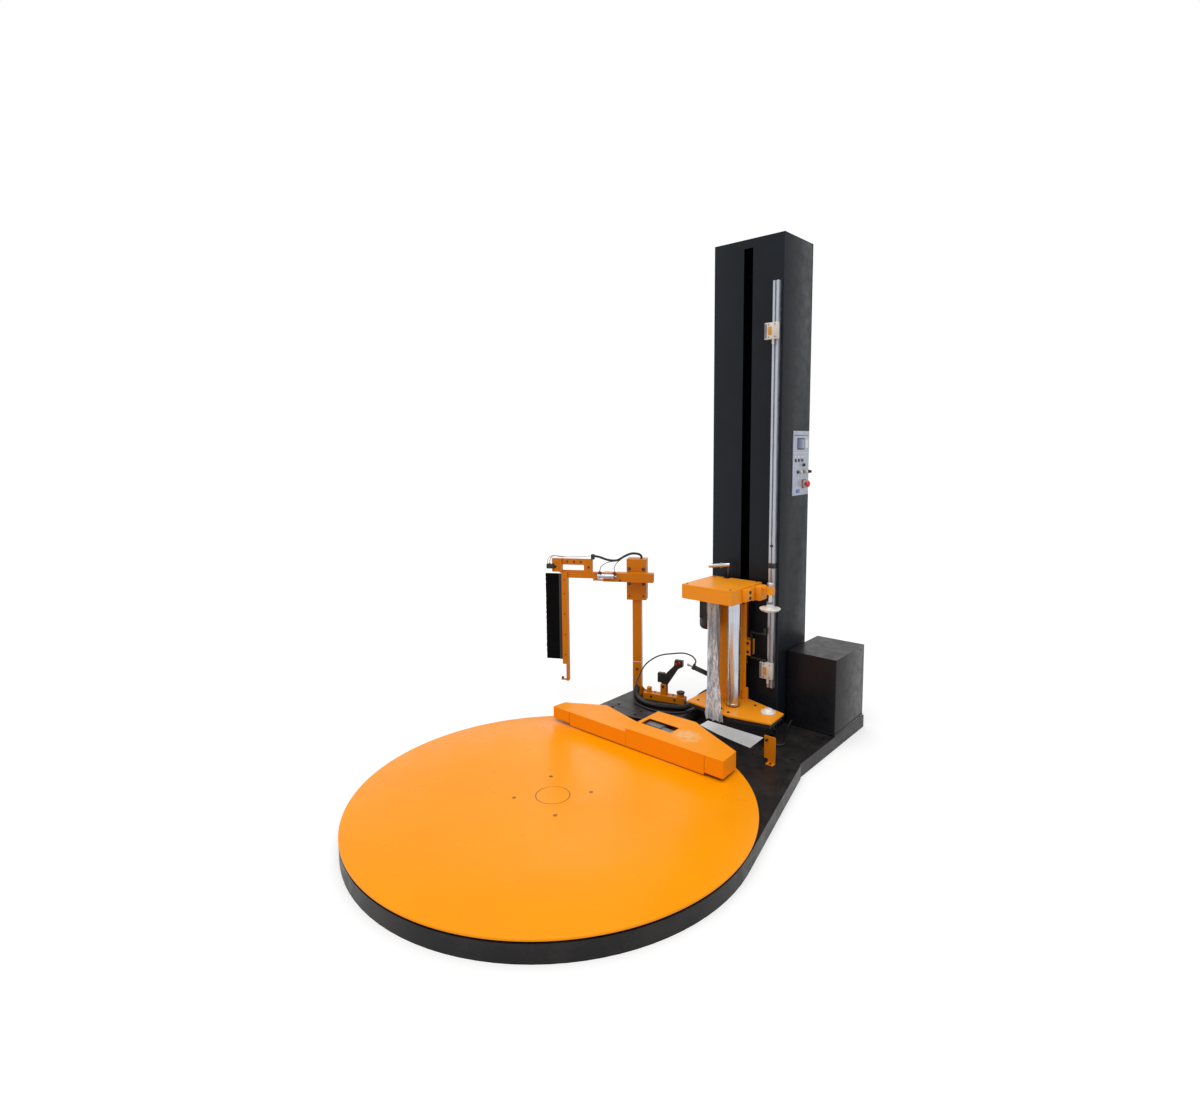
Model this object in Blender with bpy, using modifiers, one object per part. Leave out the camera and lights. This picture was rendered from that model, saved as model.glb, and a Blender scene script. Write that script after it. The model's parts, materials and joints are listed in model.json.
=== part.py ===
"""Turntable pallet wrapper with a mast, film carriage, wiper arm and film clamp.

Metres, +Z up. The origin is on the floor under the turntable's axis, and +Y points to the mast.
The film carriage stands at the lowest point of its travel.
"""

import math

import bmesh
import bpy
from mathutils import Vector

# ---------------------------------------------------------------- driving dimensions
SEAT_GAP = 0.0003          # between pieces that touch
RUNNING_GAP = 0.0004       # radial, between a shaft and its hole

BASE_HEIGHT = 0.065
BASE_SHEET = 0.006         # deck plates and skirts

DISC_RADIUS = 0.825
DISC_THICKNESS = 0.008
DISC_UNDERSIDE = 0.072
DISC_SEGMENTS = 96
CENTRE_COVER_RADIUS = 0.070
CENTRE_COVER_THICKNESS = 0.004
HUB_FLANGE_RADIUS = 0.190
SPINDLE_RADIUS = 0.025
RING_FLANGE_WIDTH = 0.050
SUPPORT_WHEELS = 5
SUPPORT_WHEEL_RADIUS = 0.022
SUPPORT_WHEEL_WIDTH = 0.030
SUPPORT_WHEEL_TRACK = 0.745
WHEEL_PIN_RADIUS = 0.006

BASE_SPLIT_Y = 0.933       # the turntable base and the mast base are bolted here
BASE_RIGHT_X = 0.630
BASE_LEFT_X = -0.535
BASE_REAR_Y = 1.686
WING_REAR_Y = 1.240
WELL_LEFT_X = -0.085       # floor well under the film carriage
WELL_REAR_Y = 1.215
WELL_RIGHT = ((0.374, 0.942), (0.360, WELL_REAR_Y))
WELL_FRONT = ((WELL_LEFT_X, 1.040), (0.057, 1.008), (0.175, 0.974), (0.283, 0.955))

MAST_WIDTH = 0.388
MAST_DEPTH = 0.302
MAST_HEIGHT = 2.500
MAST_CENTRE_X = 0.168
MAST_FRONT_Y = 1.229
MAST_WALL = 0.004
MAST_COVER = 0.003
SLOT_WIDTH = 0.050
SLOT_BOTTOM = 0.100
SLOT_TOP = 2.457

CHAIN_TOP_Z = 2.350
CHAIN_BOTTOM_Z = 0.300
CHAIN_Y = 1.335
CHAIN_THICKNESS = 0.008
CHAIN_WIDTH = 0.012
SPROCKET_RADIUS = 0.035

CARRIAGE_TRAVEL = 1.410
HOUSING_LOW = (0.000, 0.909, 0.743)
HOUSING_HIGH = (0.286, 1.195, 0.815)
HOUSING_SHEET = 0.003
LOWER_PLATE_TOP = 0.200
LOWER_PLATE_THICKNESS = 0.008
ROLLER_RADIUS = 0.0325
ROLLER_SHAFT = 0.010
DRIVE_ROLLER_XY = (0.215, 1.050)
FOLLOW_ROLLER_XY = (0.098, 1.050)
DRIVE_GEAR_RADIUS = 0.065
GEAR_WIDTH = 0.010
CORE_XY = (0.394, 1.078)
CORE_SEAT_RADIUS = 0.036
CORE_CONE_RADIUS = 0.050
CORE_CONE_Z = 0.702
CORE_SHAFT = 0.009

ARM_XY = (-0.4805, 1.153)
ARM_HEADING = math.radians(210.0)     # the cross tube's direction from the post
ARM_SEAM_Z = 0.2645
POST_SIDE = 0.050
HEAD_WIDTH = 0.112
HEAD_DEPTH = 0.074
HEAD_LOW_Z = 0.627
HEAD_TOP_Z = 0.861
CROSS_TUBE_SIDE = 0.050
CROSS_TUBE_Z = 0.763
CROSS_TUBE_SPAN = (-0.101, 0.181)
WIPER_PIVOT_T = 0.231
WIPER_BAR_T = 0.410
BRACKET_SPAN = (0.246, 0.486)
WINDOW_SPAN = (0.298, 0.426)
WIPER_BAR_SIDE = 0.035
BRUSH_WIDTH = 0.100

CLAMP_HEADING = math.radians(15.5)
CLAMP_XY = (-0.300, 1.166)
CLAMP_PIVOT_Z = 0.150

PANEL_LOW_YZ = (1.345, 1.241)
PANEL_HIGH_YZ = (1.521, 1.566)
PANEL_THICKNESS = 0.004

FINISHES = {
    "orange_paint": ((1.0, 0.33, 0.01), 0.35, 0.0),
    "black_paint": ((0.02, 0.02, 0.022), 0.4, 0.0),
    "mast_paint": ((0.024, 0.036, 0.05), 0.35, 0.0),
    "bare_steel": ((0.55, 0.55, 0.56), 0.3, 1.0),
    "aluminium": ((0.62, 0.64, 0.67), 0.35, 1.0),
    "black_plastic": ((0.015, 0.015, 0.017), 0.5, 0.0),
    "white_plastic": ((0.8, 0.78, 0.72), 0.45, 0.0),
    "red_plastic": ((0.75, 0.04, 0.02), 0.4, 0.0),
    "panel_grey": ((0.42, 0.48, 0.62), 0.4, 0.0),
    "rubber": ((0.02, 0.02, 0.02), 0.8, 0.0),
    "film": ((0.85, 0.88, 0.92), 0.15, 0.0),
}


# ---------------------------------------------------------------- scene and shape helpers
def clear_scene():
    for old in list(bpy.data.objects):
        bpy.data.objects.remove(old, do_unlink=True)


def new_collection(name):
    made = bpy.data.collections.new(name)
    bpy.context.scene.collection.children.link(made)
    return made


clear_scene()
PARTS = new_collection("turntable_pallet_wrapper")
TOOLS = new_collection("cutters_and_joined_shapes")


def joint_frame(name, location, heading=0.0, parent=None):
    """An empty on a joint's axis: the pieces under it are placed in its own axes."""
    empty = bpy.data.objects.new(name, None)
    empty.location = location
    empty.rotation_euler = (0.0, 0.0, heading)
    empty.empty_display_size = 0.05
    empty.parent = parent
    PARTS.objects.link(empty)
    return empty


def add_object(name, data, parent=None, location=(0, 0, 0), rotation=(0, 0, 0)):
    made = bpy.data.objects.new(name, data)
    made.location = location
    made.rotation_euler = rotation
    made.parent = parent
    PARTS.objects.link(made)
    return made


def box(name, low, high, parent=None, bevel=0.0, upright_only=False):
    """A box between two corners, its edges, or its upright edges alone, rounded if asked."""
    low, high = Vector(low), Vector(high)
    bm = bmesh.new()
    bmesh.ops.create_cube(bm, size=1.0)
    bmesh.ops.scale(bm, vec=high - low, verts=bm.verts)
    if bevel > 0.0:
        edges = [e for e in bm.edges if not upright_only or abs(e.verts[0].co.z - e.verts[1].co.z) > 1e-6]
        bmesh.ops.bevel(bm, geom=edges, offset=bevel, segments=2, profile=0.5, affect="EDGES", material=-1)
    mesh = bpy.data.meshes.new(name)
    bm.to_mesh(mesh)
    bm.free()
    return add_object(name, mesh, parent, (low + high) / 2)


def cylinder(name, radius, start, end, parent=None, segments=24):
    """A solid round bar from one point to another."""
    start, end = Vector(start), Vector(end)
    along = end - start
    bm = bmesh.new()
    bmesh.ops.create_cone(
        bm, cap_ends=True, segments=segments, radius1=radius, radius2=radius, depth=along.length
    )
    mesh = bpy.data.meshes.new(name)
    bm.to_mesh(mesh)
    bm.free()
    turn = Vector((0, 0, 1)).rotation_difference(along).to_euler()
    return add_object(name, mesh, parent, (start + end) / 2, turn)


def turned(name, profile, parent=None, location=(0, 0, 0), rotation=(0, 0, 0), segments=24, ring=False):
    """A profile of (radius, height) points turned about the object's Z axis. A ring's profile closes on itself."""
    mesh = bpy.data.meshes.new(name)
    edges = [(i, i + 1) for i in range(len(profile) - 1)]
    if ring:
        edges.append((len(profile) - 1, 0))
    mesh.from_pydata([(r, 0.0, z) for r, z in profile], edges, [])
    made = add_object(name, mesh, parent, location, rotation)
    screw = made.modifiers.new("turning", "SCREW")
    screw.axis = "Z"
    screw.angle = 2 * math.pi
    screw.steps = segments
    screw.render_steps = segments
    screw.use_merge_vertices = True
    screw.merge_threshold = 0.00001
    return made


def plate(name, loops, thickness, parent=None, location=(0, 0, 0), rotation=(0, 0, 0)):
    """A flat outline, with holes as further loops, made solid evenly about its own plane."""
    outline = bpy.data.curves.new(name, "CURVE")
    outline.dimensions = "2D"
    outline.fill_mode = "BOTH"
    outline.extrude = thickness / 2
    for loop in loops:
        spline = outline.splines.new("POLY")
        spline.points.add(len(loop) - 1)
        for point, (x, y) in zip(spline.points, loop):
            point.co = (x, y, 0.0, 1.0)
        spline.use_cyclic_u = True
    source = add_object(name + "_outline", outline)
    evaluated = source.evaluated_get(bpy.context.evaluated_depsgraph_get())
    mesh = bpy.data.meshes.new_from_object(evaluated)
    bpy.data.objects.remove(source, do_unlink=True)
    bm = bmesh.new()
    bm.from_mesh(mesh)
    bmesh.ops.remove_doubles(bm, verts=bm.verts, dist=0.00001)
    bm.to_mesh(mesh)
    bm.free()
    mesh.name = name
    return add_object(name, mesh, parent, location, rotation)


def circle(radius, centre=(0.0, 0.0), segments=24):
    steps = [2 * math.pi * i / segments for i in range(segments)]
    return [(centre[0] + radius * math.cos(a), centre[1] + radius * math.sin(a)) for a in steps]


def rectangle(low, high):
    return [low, (high[0], low[1]), high, (low[0], high[1])]


def smooth_route(points, spacing):
    """Points about a spacing apart through a cable's own points. Its first and last lengths stay straight."""
    points = [Vector(p) for p in points]
    route = [points[0], points[1]]
    for i in range(1, len(points) - 2):
        before, start, end, after = points[i - 1 : i + 3]
        steps = max(1, round((end - start).length / spacing))
        for step in range(1, steps + 1):
            t = step / steps
            route.append(
                0.5
                * (
                    2 * start
                    + (end - before) * t
                    + (2 * before - 5 * start + 4 * end - after) * t**2
                    + (3 * start - before - 3 * end + after) * t**3
                )
            )
    route.append(points[-1])
    return route


def cable(name, points, radius, parent=None):
    """A round cable or hose along its route."""
    curve = bpy.data.curves.new(name, "CURVE")
    curve.dimensions = "3D"
    curve.bevel_depth = radius
    curve.bevel_resolution = 2
    curve.use_fill_caps = True
    spline = curve.splines.new("POLY")
    route = smooth_route(points, radius * 5)
    spline.points.add(len(route) - 1)
    for point, place in zip(spline.points, route):
        point.co = (*place, 1.0)
    return add_object(name, curve, parent)


def boolean(target, tool, operation):
    step = target.modifiers.new(tool.name, "BOOLEAN")
    step.operation = operation
    step.solver = "EXACT"
    step.object = tool
    PARTS.objects.unlink(tool)
    TOOLS.objects.link(tool)
    tool.hide_render = True
    tool.display_type = "WIRE"


def cut(target, *tools):
    for tool in tools:
        boolean(target, tool, "DIFFERENCE")


def weld(target, *tools):
    for tool in tools:
        boolean(target, tool, "UNION")


def finish(made, kind):
    """Gives a piece its own material of one of the machine's finishes."""
    colour, roughness, metallic = FINISHES[kind]
    material = bpy.data.materials.new(made.name + "_" + kind)
    material.use_nodes = True
    shader = material.node_tree.nodes["Principled BSDF"]
    shader.inputs["Base Color"].default_value = (*colour, 1.0)
    shader.inputs["Roughness"].default_value = roughness
    shader.inputs["Metallic"].default_value = metallic
    made.data.materials.clear()
    made.data.materials.append(material)


# ---------------------------------------------------------------- values worked out from the driving ones
DISC_TOP = DISC_UNDERSIDE + DISC_THICKNESS
DECK_UNDERSIDE = BASE_HEIGHT - BASE_SHEET
MAST_LEFT_X = MAST_CENTRE_X - MAST_WIDTH / 2
MAST_RIGHT_X = MAST_CENTRE_X + MAST_WIDTH / 2
MAST_REAR_Y = MAST_FRONT_Y + MAST_DEPTH
MAST_FOOT_Z = BASE_HEIGHT + SEAT_GAP
RING_INNER_RADIUS = DISC_RADIUS - RING_FLANGE_WIDTH
CHAIN_INNER_RADIUS = SPROCKET_RADIUS + SEAT_GAP
CHAIN_FRONT_Y = CHAIN_Y - CHAIN_INNER_RADIUS - CHAIN_THICKNESS
LOWER_PLATE_BOTTOM = LOWER_PLATE_TOP - LOWER_PLATE_THICKNESS


# ---------------------------------------------------------------- turntable base
def polar(radius, angle, z):
    return (radius * math.cos(angle), radius * math.sin(angle), z)


def wheel_angle(index):
    """The wheels are spaced evenly, with the first below the drive wheel."""
    return math.pi / 2 + 2 * math.pi * index / SUPPORT_WHEELS


def build_turntable_base():
    """The welded ring, its arms, the spindle, the wheel pins and the deck that meets the mast base."""
    web = DISC_RADIUS - BASE_SHEET
    base = turned(
        "turntable_base",
        [
            (DISC_RADIUS, BASE_HEIGHT),
            (DISC_RADIUS, 0.0),
            (RING_INNER_RADIUS, 0.0),
            (RING_INNER_RADIUS, BASE_SHEET),
            (web, BASE_SHEET),
            (web, DECK_UNDERSIDE),
            (RING_INNER_RADIUS, DECK_UNDERSIDE),
            (RING_INNER_RADIUS, BASE_HEIGHT),
        ],
        segments=DISC_SEGMENTS,
        ring=True,
    )
    corner = Vector((BASE_RIGHT_X + BASE_SHEET, BASE_SPLIT_Y))
    tangent_angle = math.atan2(corner.y, corner.x) - math.acos(DISC_RADIUS / corner.length)
    tangent = (DISC_RADIUS * math.cos(tangent_angle), DISC_RADIUS * math.sin(tangent_angle))
    left_y = math.sqrt(DISC_RADIUS**2 - BASE_LEFT_X**2)
    outline = [tangent, tuple(corner), (BASE_LEFT_X, BASE_SPLIT_Y), (BASE_LEFT_X, left_y), (0.0, 0.3)]
    inner = [
        (tangent[0] - BASE_SHEET, tangent[1]),
        (corner.x - BASE_SHEET, BASE_SPLIT_Y - BASE_SHEET),
        (BASE_LEFT_X + BASE_SHEET, BASE_SPLIT_Y - BASE_SHEET),
        (BASE_LEFT_X + BASE_SHEET, left_y),
        (0.0, 0.2),
    ]
    deck = plate("base_deck", [outline], BASE_HEIGHT, location=(0, 0, BASE_HEIGHT / 2))
    hollow = plate("base_deck_hollow", [inner], BASE_HEIGHT, location=(0, 0, DECK_UNDERSIDE - BASE_HEIGHT / 2))
    disc_side = cylinder(
        "base_deck_disc_side", DISC_RADIUS - BASE_SHEET / 2, (0, 0, -1), (0, 0, 1), segments=DISC_SEGMENTS
    )
    cut(deck, hollow, disc_side)
    weld(base, deck)

    arm_height = 0.040
    pedestal_top = 0.052
    hub = turned(
        "base_hub",
        [
            (0.0, 0.070),
            (SPINDLE_RADIUS, 0.070),
            (SPINDLE_RADIUS, pedestal_top),
            (0.060, pedestal_top),
            (0.060, arm_height),
            (0.120, arm_height),
            (0.120, 0.0),
            (0.0, 0.0),
        ],
        segments=32,
    )
    for index in range(SUPPORT_WHEELS):
        angle = wheel_angle(index + 0.5)
        arm = box("base_arm_%d" % index, (0.050, -0.025, 0.0), (DISC_RADIUS - 0.02, 0.025, arm_height))
        arm.location = polar((DISC_RADIUS + 0.03) / 2, angle, arm_height / 2)
        arm.rotation_euler = (0.0, 0.0, angle)
        weld(hub, arm)
    weld(base, hub)

    pin_z = DISC_UNDERSIDE - SEAT_GAP - SUPPORT_WHEEL_RADIUS
    inner_face = SUPPORT_WHEEL_TRACK - SUPPORT_WHEEL_WIDTH / 2 - SEAT_GAP
    outer_face = SUPPORT_WHEEL_TRACK + SUPPORT_WHEEL_WIDTH / 2 + SEAT_GAP
    collar = WHEEL_PIN_RADIUS + 0.004
    for index in range(SUPPORT_WHEELS):
        angle = wheel_angle(index)
        pin = turned(
            "wheel_pin_%d" % index,
            [
                (0.0, web + 0.003),
                (collar, web + 0.003),
                (collar, outer_face),
                (WHEEL_PIN_RADIUS, outer_face),
                (WHEEL_PIN_RADIUS, inner_face),
                (collar, inner_face),
                (collar, inner_face - 0.006),
                (0.0, inner_face - 0.006),
            ],
            location=(0, 0, pin_z),
            rotation=(0.0, math.pi / 2, angle),
            segments=16,
        )
        weld(base, pin)
    finish(base, "black_paint")


def build_support_wheels():
    """Plain wheels that run on the underside of the disc."""
    half = SUPPORT_WHEEL_WIDTH / 2
    bore = WHEEL_PIN_RADIUS + RUNNING_GAP
    pin_z = DISC_UNDERSIDE - SEAT_GAP - SUPPORT_WHEEL_RADIUS
    for index in range(SUPPORT_WHEELS):
        angle = wheel_angle(index)
        wheel = turned(
            "support_wheel_%d" % (index + 1),
            [
                (SUPPORT_WHEEL_RADIUS, half - 0.002),
                (SUPPORT_WHEEL_RADIUS, 0.002 - half),
                (SUPPORT_WHEEL_RADIUS - 0.002, -half),
                (bore, -half),
                (bore, half),
                (SUPPORT_WHEEL_RADIUS - 0.002, half),
            ],
            location=polar(SUPPORT_WHEEL_TRACK, angle, pin_z),
            rotation=(0.0, math.pi / 2, angle),
            segments=16,
            ring=True,
        )
        finish(wheel, "black_plastic")


def build_disc():
    """The plate that carries the pallet, its hub sleeve on the spindle, and the round cover in its centre."""
    sleeve = SPINDLE_RADIUS + RUNNING_GAP
    recess = DISC_TOP - CENTRE_COVER_THICKNESS - SEAT_GAP
    disc = cylinder(
        "turntable_disc", DISC_RADIUS, (0, 0, DISC_UNDERSIDE), (0, 0, DISC_TOP), segments=DISC_SEGMENTS
    )
    hub = cylinder("disc_hub_flange", HUB_FLANGE_RADIUS, (0, 0, 0.064), (0, 0, DISC_UNDERSIDE + 0.001), segments=48)
    boss = cylinder("disc_hub_boss", 0.060, (0, 0, 0.052 + SEAT_GAP), (0, 0, 0.066), segments=32)
    weld(disc, hub, boss)
    bore = cylinder("disc_bore", sleeve, (0, 0, 0.0), (0, 0, 0.2), segments=32)
    seat = cylinder(
        "disc_cover_recess", CENTRE_COVER_RADIUS + SEAT_GAP, (0, 0, recess), (0, 0, 0.2), segments=48
    )
    cut(disc, bore, seat)
    finish(disc, "orange_paint")
    cover = cylinder(
        "centre_cover", CENTRE_COVER_RADIUS, (0, 0, recess + SEAT_GAP), (0, 0, DISC_TOP), segments=48
    )
    finish(cover, "orange_paint")


# ---------------------------------------------------------------- mast base
def build_mast_base():
    """The folded floor frame that carries the mast, the cabinet and the arm, with a well under the carriage."""
    front = BASE_SPLIT_Y + SEAT_GAP
    outline = [
        (BASE_RIGHT_X, front),
        (BASE_RIGHT_X, BASE_REAR_Y),
        (-0.060, BASE_REAR_Y),
        (-0.060, WING_REAR_Y),
        (BASE_LEFT_X, WING_REAR_Y),
        (BASE_LEFT_X, front),
    ]
    well = [*WELL_FRONT, *WELL_RIGHT, (WELL_LEFT_X, WELL_REAR_Y)]
    base = plate("mast_base", [outline, well], BASE_HEIGHT, location=(0, 0, BASE_HEIGHT / 2))
    sheet = BASE_SHEET
    right_x = WELL_RIGHT[0][0] + sheet
    front_edge = [(x, y - sheet) for x, y in reversed(WELL_FRONT[:3])]
    pockets = {
        "wing": rectangle((BASE_LEFT_X + sheet, front + sheet), (WELL_LEFT_X - sheet, WING_REAR_Y - sheet)),
        "front": [(WELL_LEFT_X, front + sheet), (0.230, front + sheet), *front_edge],
        "right": rectangle((right_x, front + sheet), (BASE_RIGHT_X - sheet, BASE_REAR_Y - sheet)),
        "rear": rectangle((sheet - 0.060, WELL_REAR_Y + sheet), (right_x - sheet, BASE_REAR_Y - sheet)),
    }
    for side, outline in pockets.items():
        middle = (DECK_UNDERSIDE - 0.1) / 2
        cut(base, plate("base_pocket_" + side, [outline], DECK_UNDERSIDE + 0.1, location=(0, 0, middle)))
    lip = box(
        "well_lip",
        (WELL_LEFT_X - 0.003, WELL_FRONT[0][1] - 0.015, 0.0),
        (WELL_LEFT_X + 0.045, WELL_REAR_Y + 0.003, sheet),
    )
    weld(base, lip)
    finish(base, "black_paint")


# ---------------------------------------------------------------- mast
def build_mast():
    """The folded column with its slot and guide bars, its rear cover and its top cap."""
    rear = MAST_REAR_Y - MAST_COVER - SEAT_GAP
    top = MAST_HEIGHT - MAST_COVER - SEAT_GAP
    column = box(
        "mast_column",
        (MAST_LEFT_X, MAST_FRONT_Y, MAST_FOOT_Z),
        (MAST_RIGHT_X, rear, top),
        bevel=MAST_WALL,
        upright_only=True,
    )
    lip = 0.015
    inside = box(
        "mast_inside",
        (MAST_LEFT_X + MAST_WALL, MAST_FRONT_Y + MAST_WALL, 0.0),
        (MAST_RIGHT_X - MAST_WALL, rear - MAST_WALL, MAST_HEIGHT + 0.1),
    )
    rear_opening = box(
        "mast_rear_opening", (MAST_LEFT_X + lip, rear - 0.05, 0.0), (MAST_RIGHT_X - lip, rear + 0.05, MAST_HEIGHT + 0.1)
    )
    slot = box(
        "mast_slot",
        (MAST_CENTRE_X - SLOT_WIDTH / 2, MAST_FRONT_Y - 0.05, SLOT_BOTTOM),
        (MAST_CENTRE_X + SLOT_WIDTH / 2, MAST_FRONT_Y + 0.02, SLOT_TOP),
    )
    wiring = box(
        "mast_panel_opening",
        (MAST_RIGHT_X - 0.02, PANEL_LOW_YZ[0] + 0.012, PANEL_LOW_YZ[1] + 0.015),
        (MAST_RIGHT_X + 0.02, PANEL_HIGH_YZ[0] - 0.006, PANEL_HIGH_YZ[1] - 0.015),
    )
    cut(column, inside, rear_opening, slot, wiring)
    for side in (-1, 1):
        x = MAST_CENTRE_X + side * 0.065
        bar = box(
            "guide_bar_%d" % side,
            (x - 0.010, MAST_FRONT_Y + MAST_WALL - 0.001, 0.080),
            (x + 0.010, MAST_FRONT_Y + MAST_WALL + 0.020, SLOT_TOP),
        )
        weld(column, bar)
    axle = cylinder(
        "mast_axle",
        0.008,
        (MAST_LEFT_X + 0.002, CHAIN_Y, CHAIN_TOP_Z),
        (MAST_RIGHT_X - 0.002, CHAIN_Y, CHAIN_TOP_Z),
        segments=16,
    )
    foot = box(
        "mast_foot",
        (MAST_LEFT_X + 0.001, MAST_FRONT_Y + 0.001, MAST_FOOT_Z),
        (MAST_RIGHT_X - 0.001, MAST_FRONT_Y + 0.050, MAST_FOOT_Z + 0.006),
    )
    weld(column, axle, foot)
    finish(column, "mast_paint")

    cover = box(
        "mast_rear_cover",
        (MAST_LEFT_X, MAST_REAR_Y - MAST_COVER, MAST_FOOT_Z),
        (MAST_RIGHT_X, MAST_REAR_Y, top),
    )
    finish(cover, "mast_paint")

    cap = box(
        "mast_top_cap",
        (MAST_LEFT_X, MAST_FRONT_Y, MAST_HEIGHT - MAST_COVER),
        (MAST_RIGHT_X, MAST_REAR_Y, MAST_HEIGHT),
    )
    inset = MAST_WALL + SEAT_GAP
    rim = box(
        "cap_rim",
        (MAST_LEFT_X + inset, MAST_FRONT_Y + inset, MAST_HEIGHT - 0.018),
        (MAST_RIGHT_X - inset, rear - inset, MAST_HEIGHT - 0.001),
    )
    hollow = box(
        "cap_hollow",
        (MAST_LEFT_X + inset + 0.002, MAST_FRONT_Y + inset + 0.002, MAST_HEIGHT - 0.05),
        (MAST_RIGHT_X - inset - 0.002, rear - inset - 0.002, MAST_HEIGHT - MAST_COVER),
    )
    weld(cap, rim)
    cut(cap, hollow)
    finish(cap, "mast_paint")


def stadium(radius, low, high, segments=10):
    """A long round-ended loop about two centres on the second axis."""
    steps = [math.pi * i / segments for i in range(segments + 1)]
    upper = [(radius * math.cos(a), high + radius * math.sin(a)) for a in steps]
    lower = [(-radius * math.cos(a), low - radius * math.sin(a)) for a in steps]
    return upper + lower


def build_lift():
    """The chain loop in the mast, its two sprockets and the gearmotor that drives it."""
    x = MAST_CENTRE_X
    chain = plate(
        "lift_chain",
        [
            stadium(CHAIN_INNER_RADIUS + CHAIN_THICKNESS, CHAIN_BOTTOM_Z, CHAIN_TOP_Z),
            stadium(CHAIN_INNER_RADIUS, CHAIN_BOTTOM_Z, CHAIN_TOP_Z),
        ],
        CHAIN_WIDTH,
        location=(x, CHAIN_Y, 0),
        rotation=(math.pi / 2, 0, math.pi / 2),
    )
    finish(chain, "bare_steel")
    half = CHAIN_WIDTH / 2 - 0.001
    rim = SPROCKET_RADIUS * math.cos(math.pi / 20)
    hub = 0.018
    bore = 0.008 + RUNNING_GAP
    top = turned(
        "lift_sprocket_top",
        [(rim, half), (rim, -half), (hub, -half), (hub, -0.015), (bore, -0.015), (bore, 0.015), (hub, 0.015), (hub, half)],
        location=(x, CHAIN_Y, CHAIN_TOP_Z),
        rotation=(0, math.pi / 2, 0),
        segments=20,
        ring=True,
    )
    finish(top, "bare_steel")
    shaft = 0.010
    gearbox_left = x + 0.032
    bottom = turned(
        "lift_sprocket_bottom",
        [
            (0.0, 0.065),
            (shaft, 0.065),
            (shaft, 0.024),
            (hub, 0.024),
            (hub, half),
            (rim, half),
            (rim, -half),
            (hub, -half),
            (hub, -0.015),
            (0.0, -0.015),
        ],
        location=(x, CHAIN_Y, CHAIN_BOTTOM_Z),
        rotation=(0, math.pi / 2, 0),
        segments=20,
    )
    finish(bottom, "bare_steel")
    gearbox = box(
        "lift_gearmotor",
        (gearbox_left, CHAIN_Y - 0.040, CHAIN_BOTTOM_Z - 0.045),
        (gearbox_left + 0.090, CHAIN_Y + 0.040, CHAIN_BOTTOM_Z + 0.045),
        bevel=0.006,
    )
    middle = gearbox_left + 0.045
    motor = cylinder(
        "lift_motor_can", 0.040, (middle, CHAIN_Y + 0.035, CHAIN_BOTTOM_Z), (middle, 1.500, CHAIN_BOTTOM_Z)
    )
    pedestal = box(
        "lift_pedestal", (middle - 0.030, CHAIN_Y - 0.035, MAST_FOOT_Z), (middle + 0.030, CHAIN_Y + 0.035, 0.26)
    )
    pedestal_foot = box(
        "lift_pedestal_foot",
        (middle - 0.045, CHAIN_Y - 0.045, MAST_FOOT_Z),
        (middle + 0.045, CHAIN_Y + 0.050, MAST_FOOT_Z + 0.006),
    )
    weld(gearbox, motor, pedestal, pedestal_foot)
    shaft_bore = cylinder(
        "lift_shaft_bore",
        shaft + RUNNING_GAP,
        (gearbox_left - 0.02, CHAIN_Y, CHAIN_BOTTOM_Z),
        (x + 0.066, CHAIN_Y, CHAIN_BOTTOM_Z),
        segments=20,
    )
    cut(gearbox, shaft_bore)
    finish(gearbox, "bare_steel")


# ---------------------------------------------------------------- cabinet and control panel
def build_cabinet():
    """The sheet cover beside the mast, open underneath, and the inverter under it."""
    low = (MAST_RIGHT_X + 0.008, 1.315, MAST_FOOT_Z)
    high = (BASE_RIGHT_X - 0.002, 1.670, 0.452)
    sheet = 0.002
    cabinet = box("side_cabinet", low, high, bevel=0.003, upright_only=True)
    hollow = box(
        "cabinet_hollow",
        (low[0] + sheet, low[1] + sheet, 0.0),
        (high[0] - sheet, high[1] - sheet, high[2] - sheet),
    )
    cut(cabinet, hollow)
    finish(cabinet, "black_paint")
    inverter = box("inverter_unit", (0.430, 1.430, MAST_FOOT_Z), (0.570, 1.600, 0.330))
    for index in range(5):
        x = 0.448 + 0.024 * index
        cut(inverter, box("inverter_fin_gap_%d" % index, (x, 1.575, 0.090), (x + 0.012, 1.610, 0.310)))
    finish(inverter, "panel_grey")


PUSH_BUTTONS = {"start_button": (1.425, 1.359), "stop_button": (1.483, 1.359)}
SPEED_KNOB_YZ = (1.452, 1.394)
SELECTOR_YZ = (1.508, 1.359)
STOP_YZ = (1.470, 1.297)
STEM = 0.005
STOP_STEM = 0.008
PANEL_FACE_X = MAST_RIGHT_X + SEAT_GAP + PANEL_THICKNESS
STEM_DEPTH = 0.014


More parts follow.
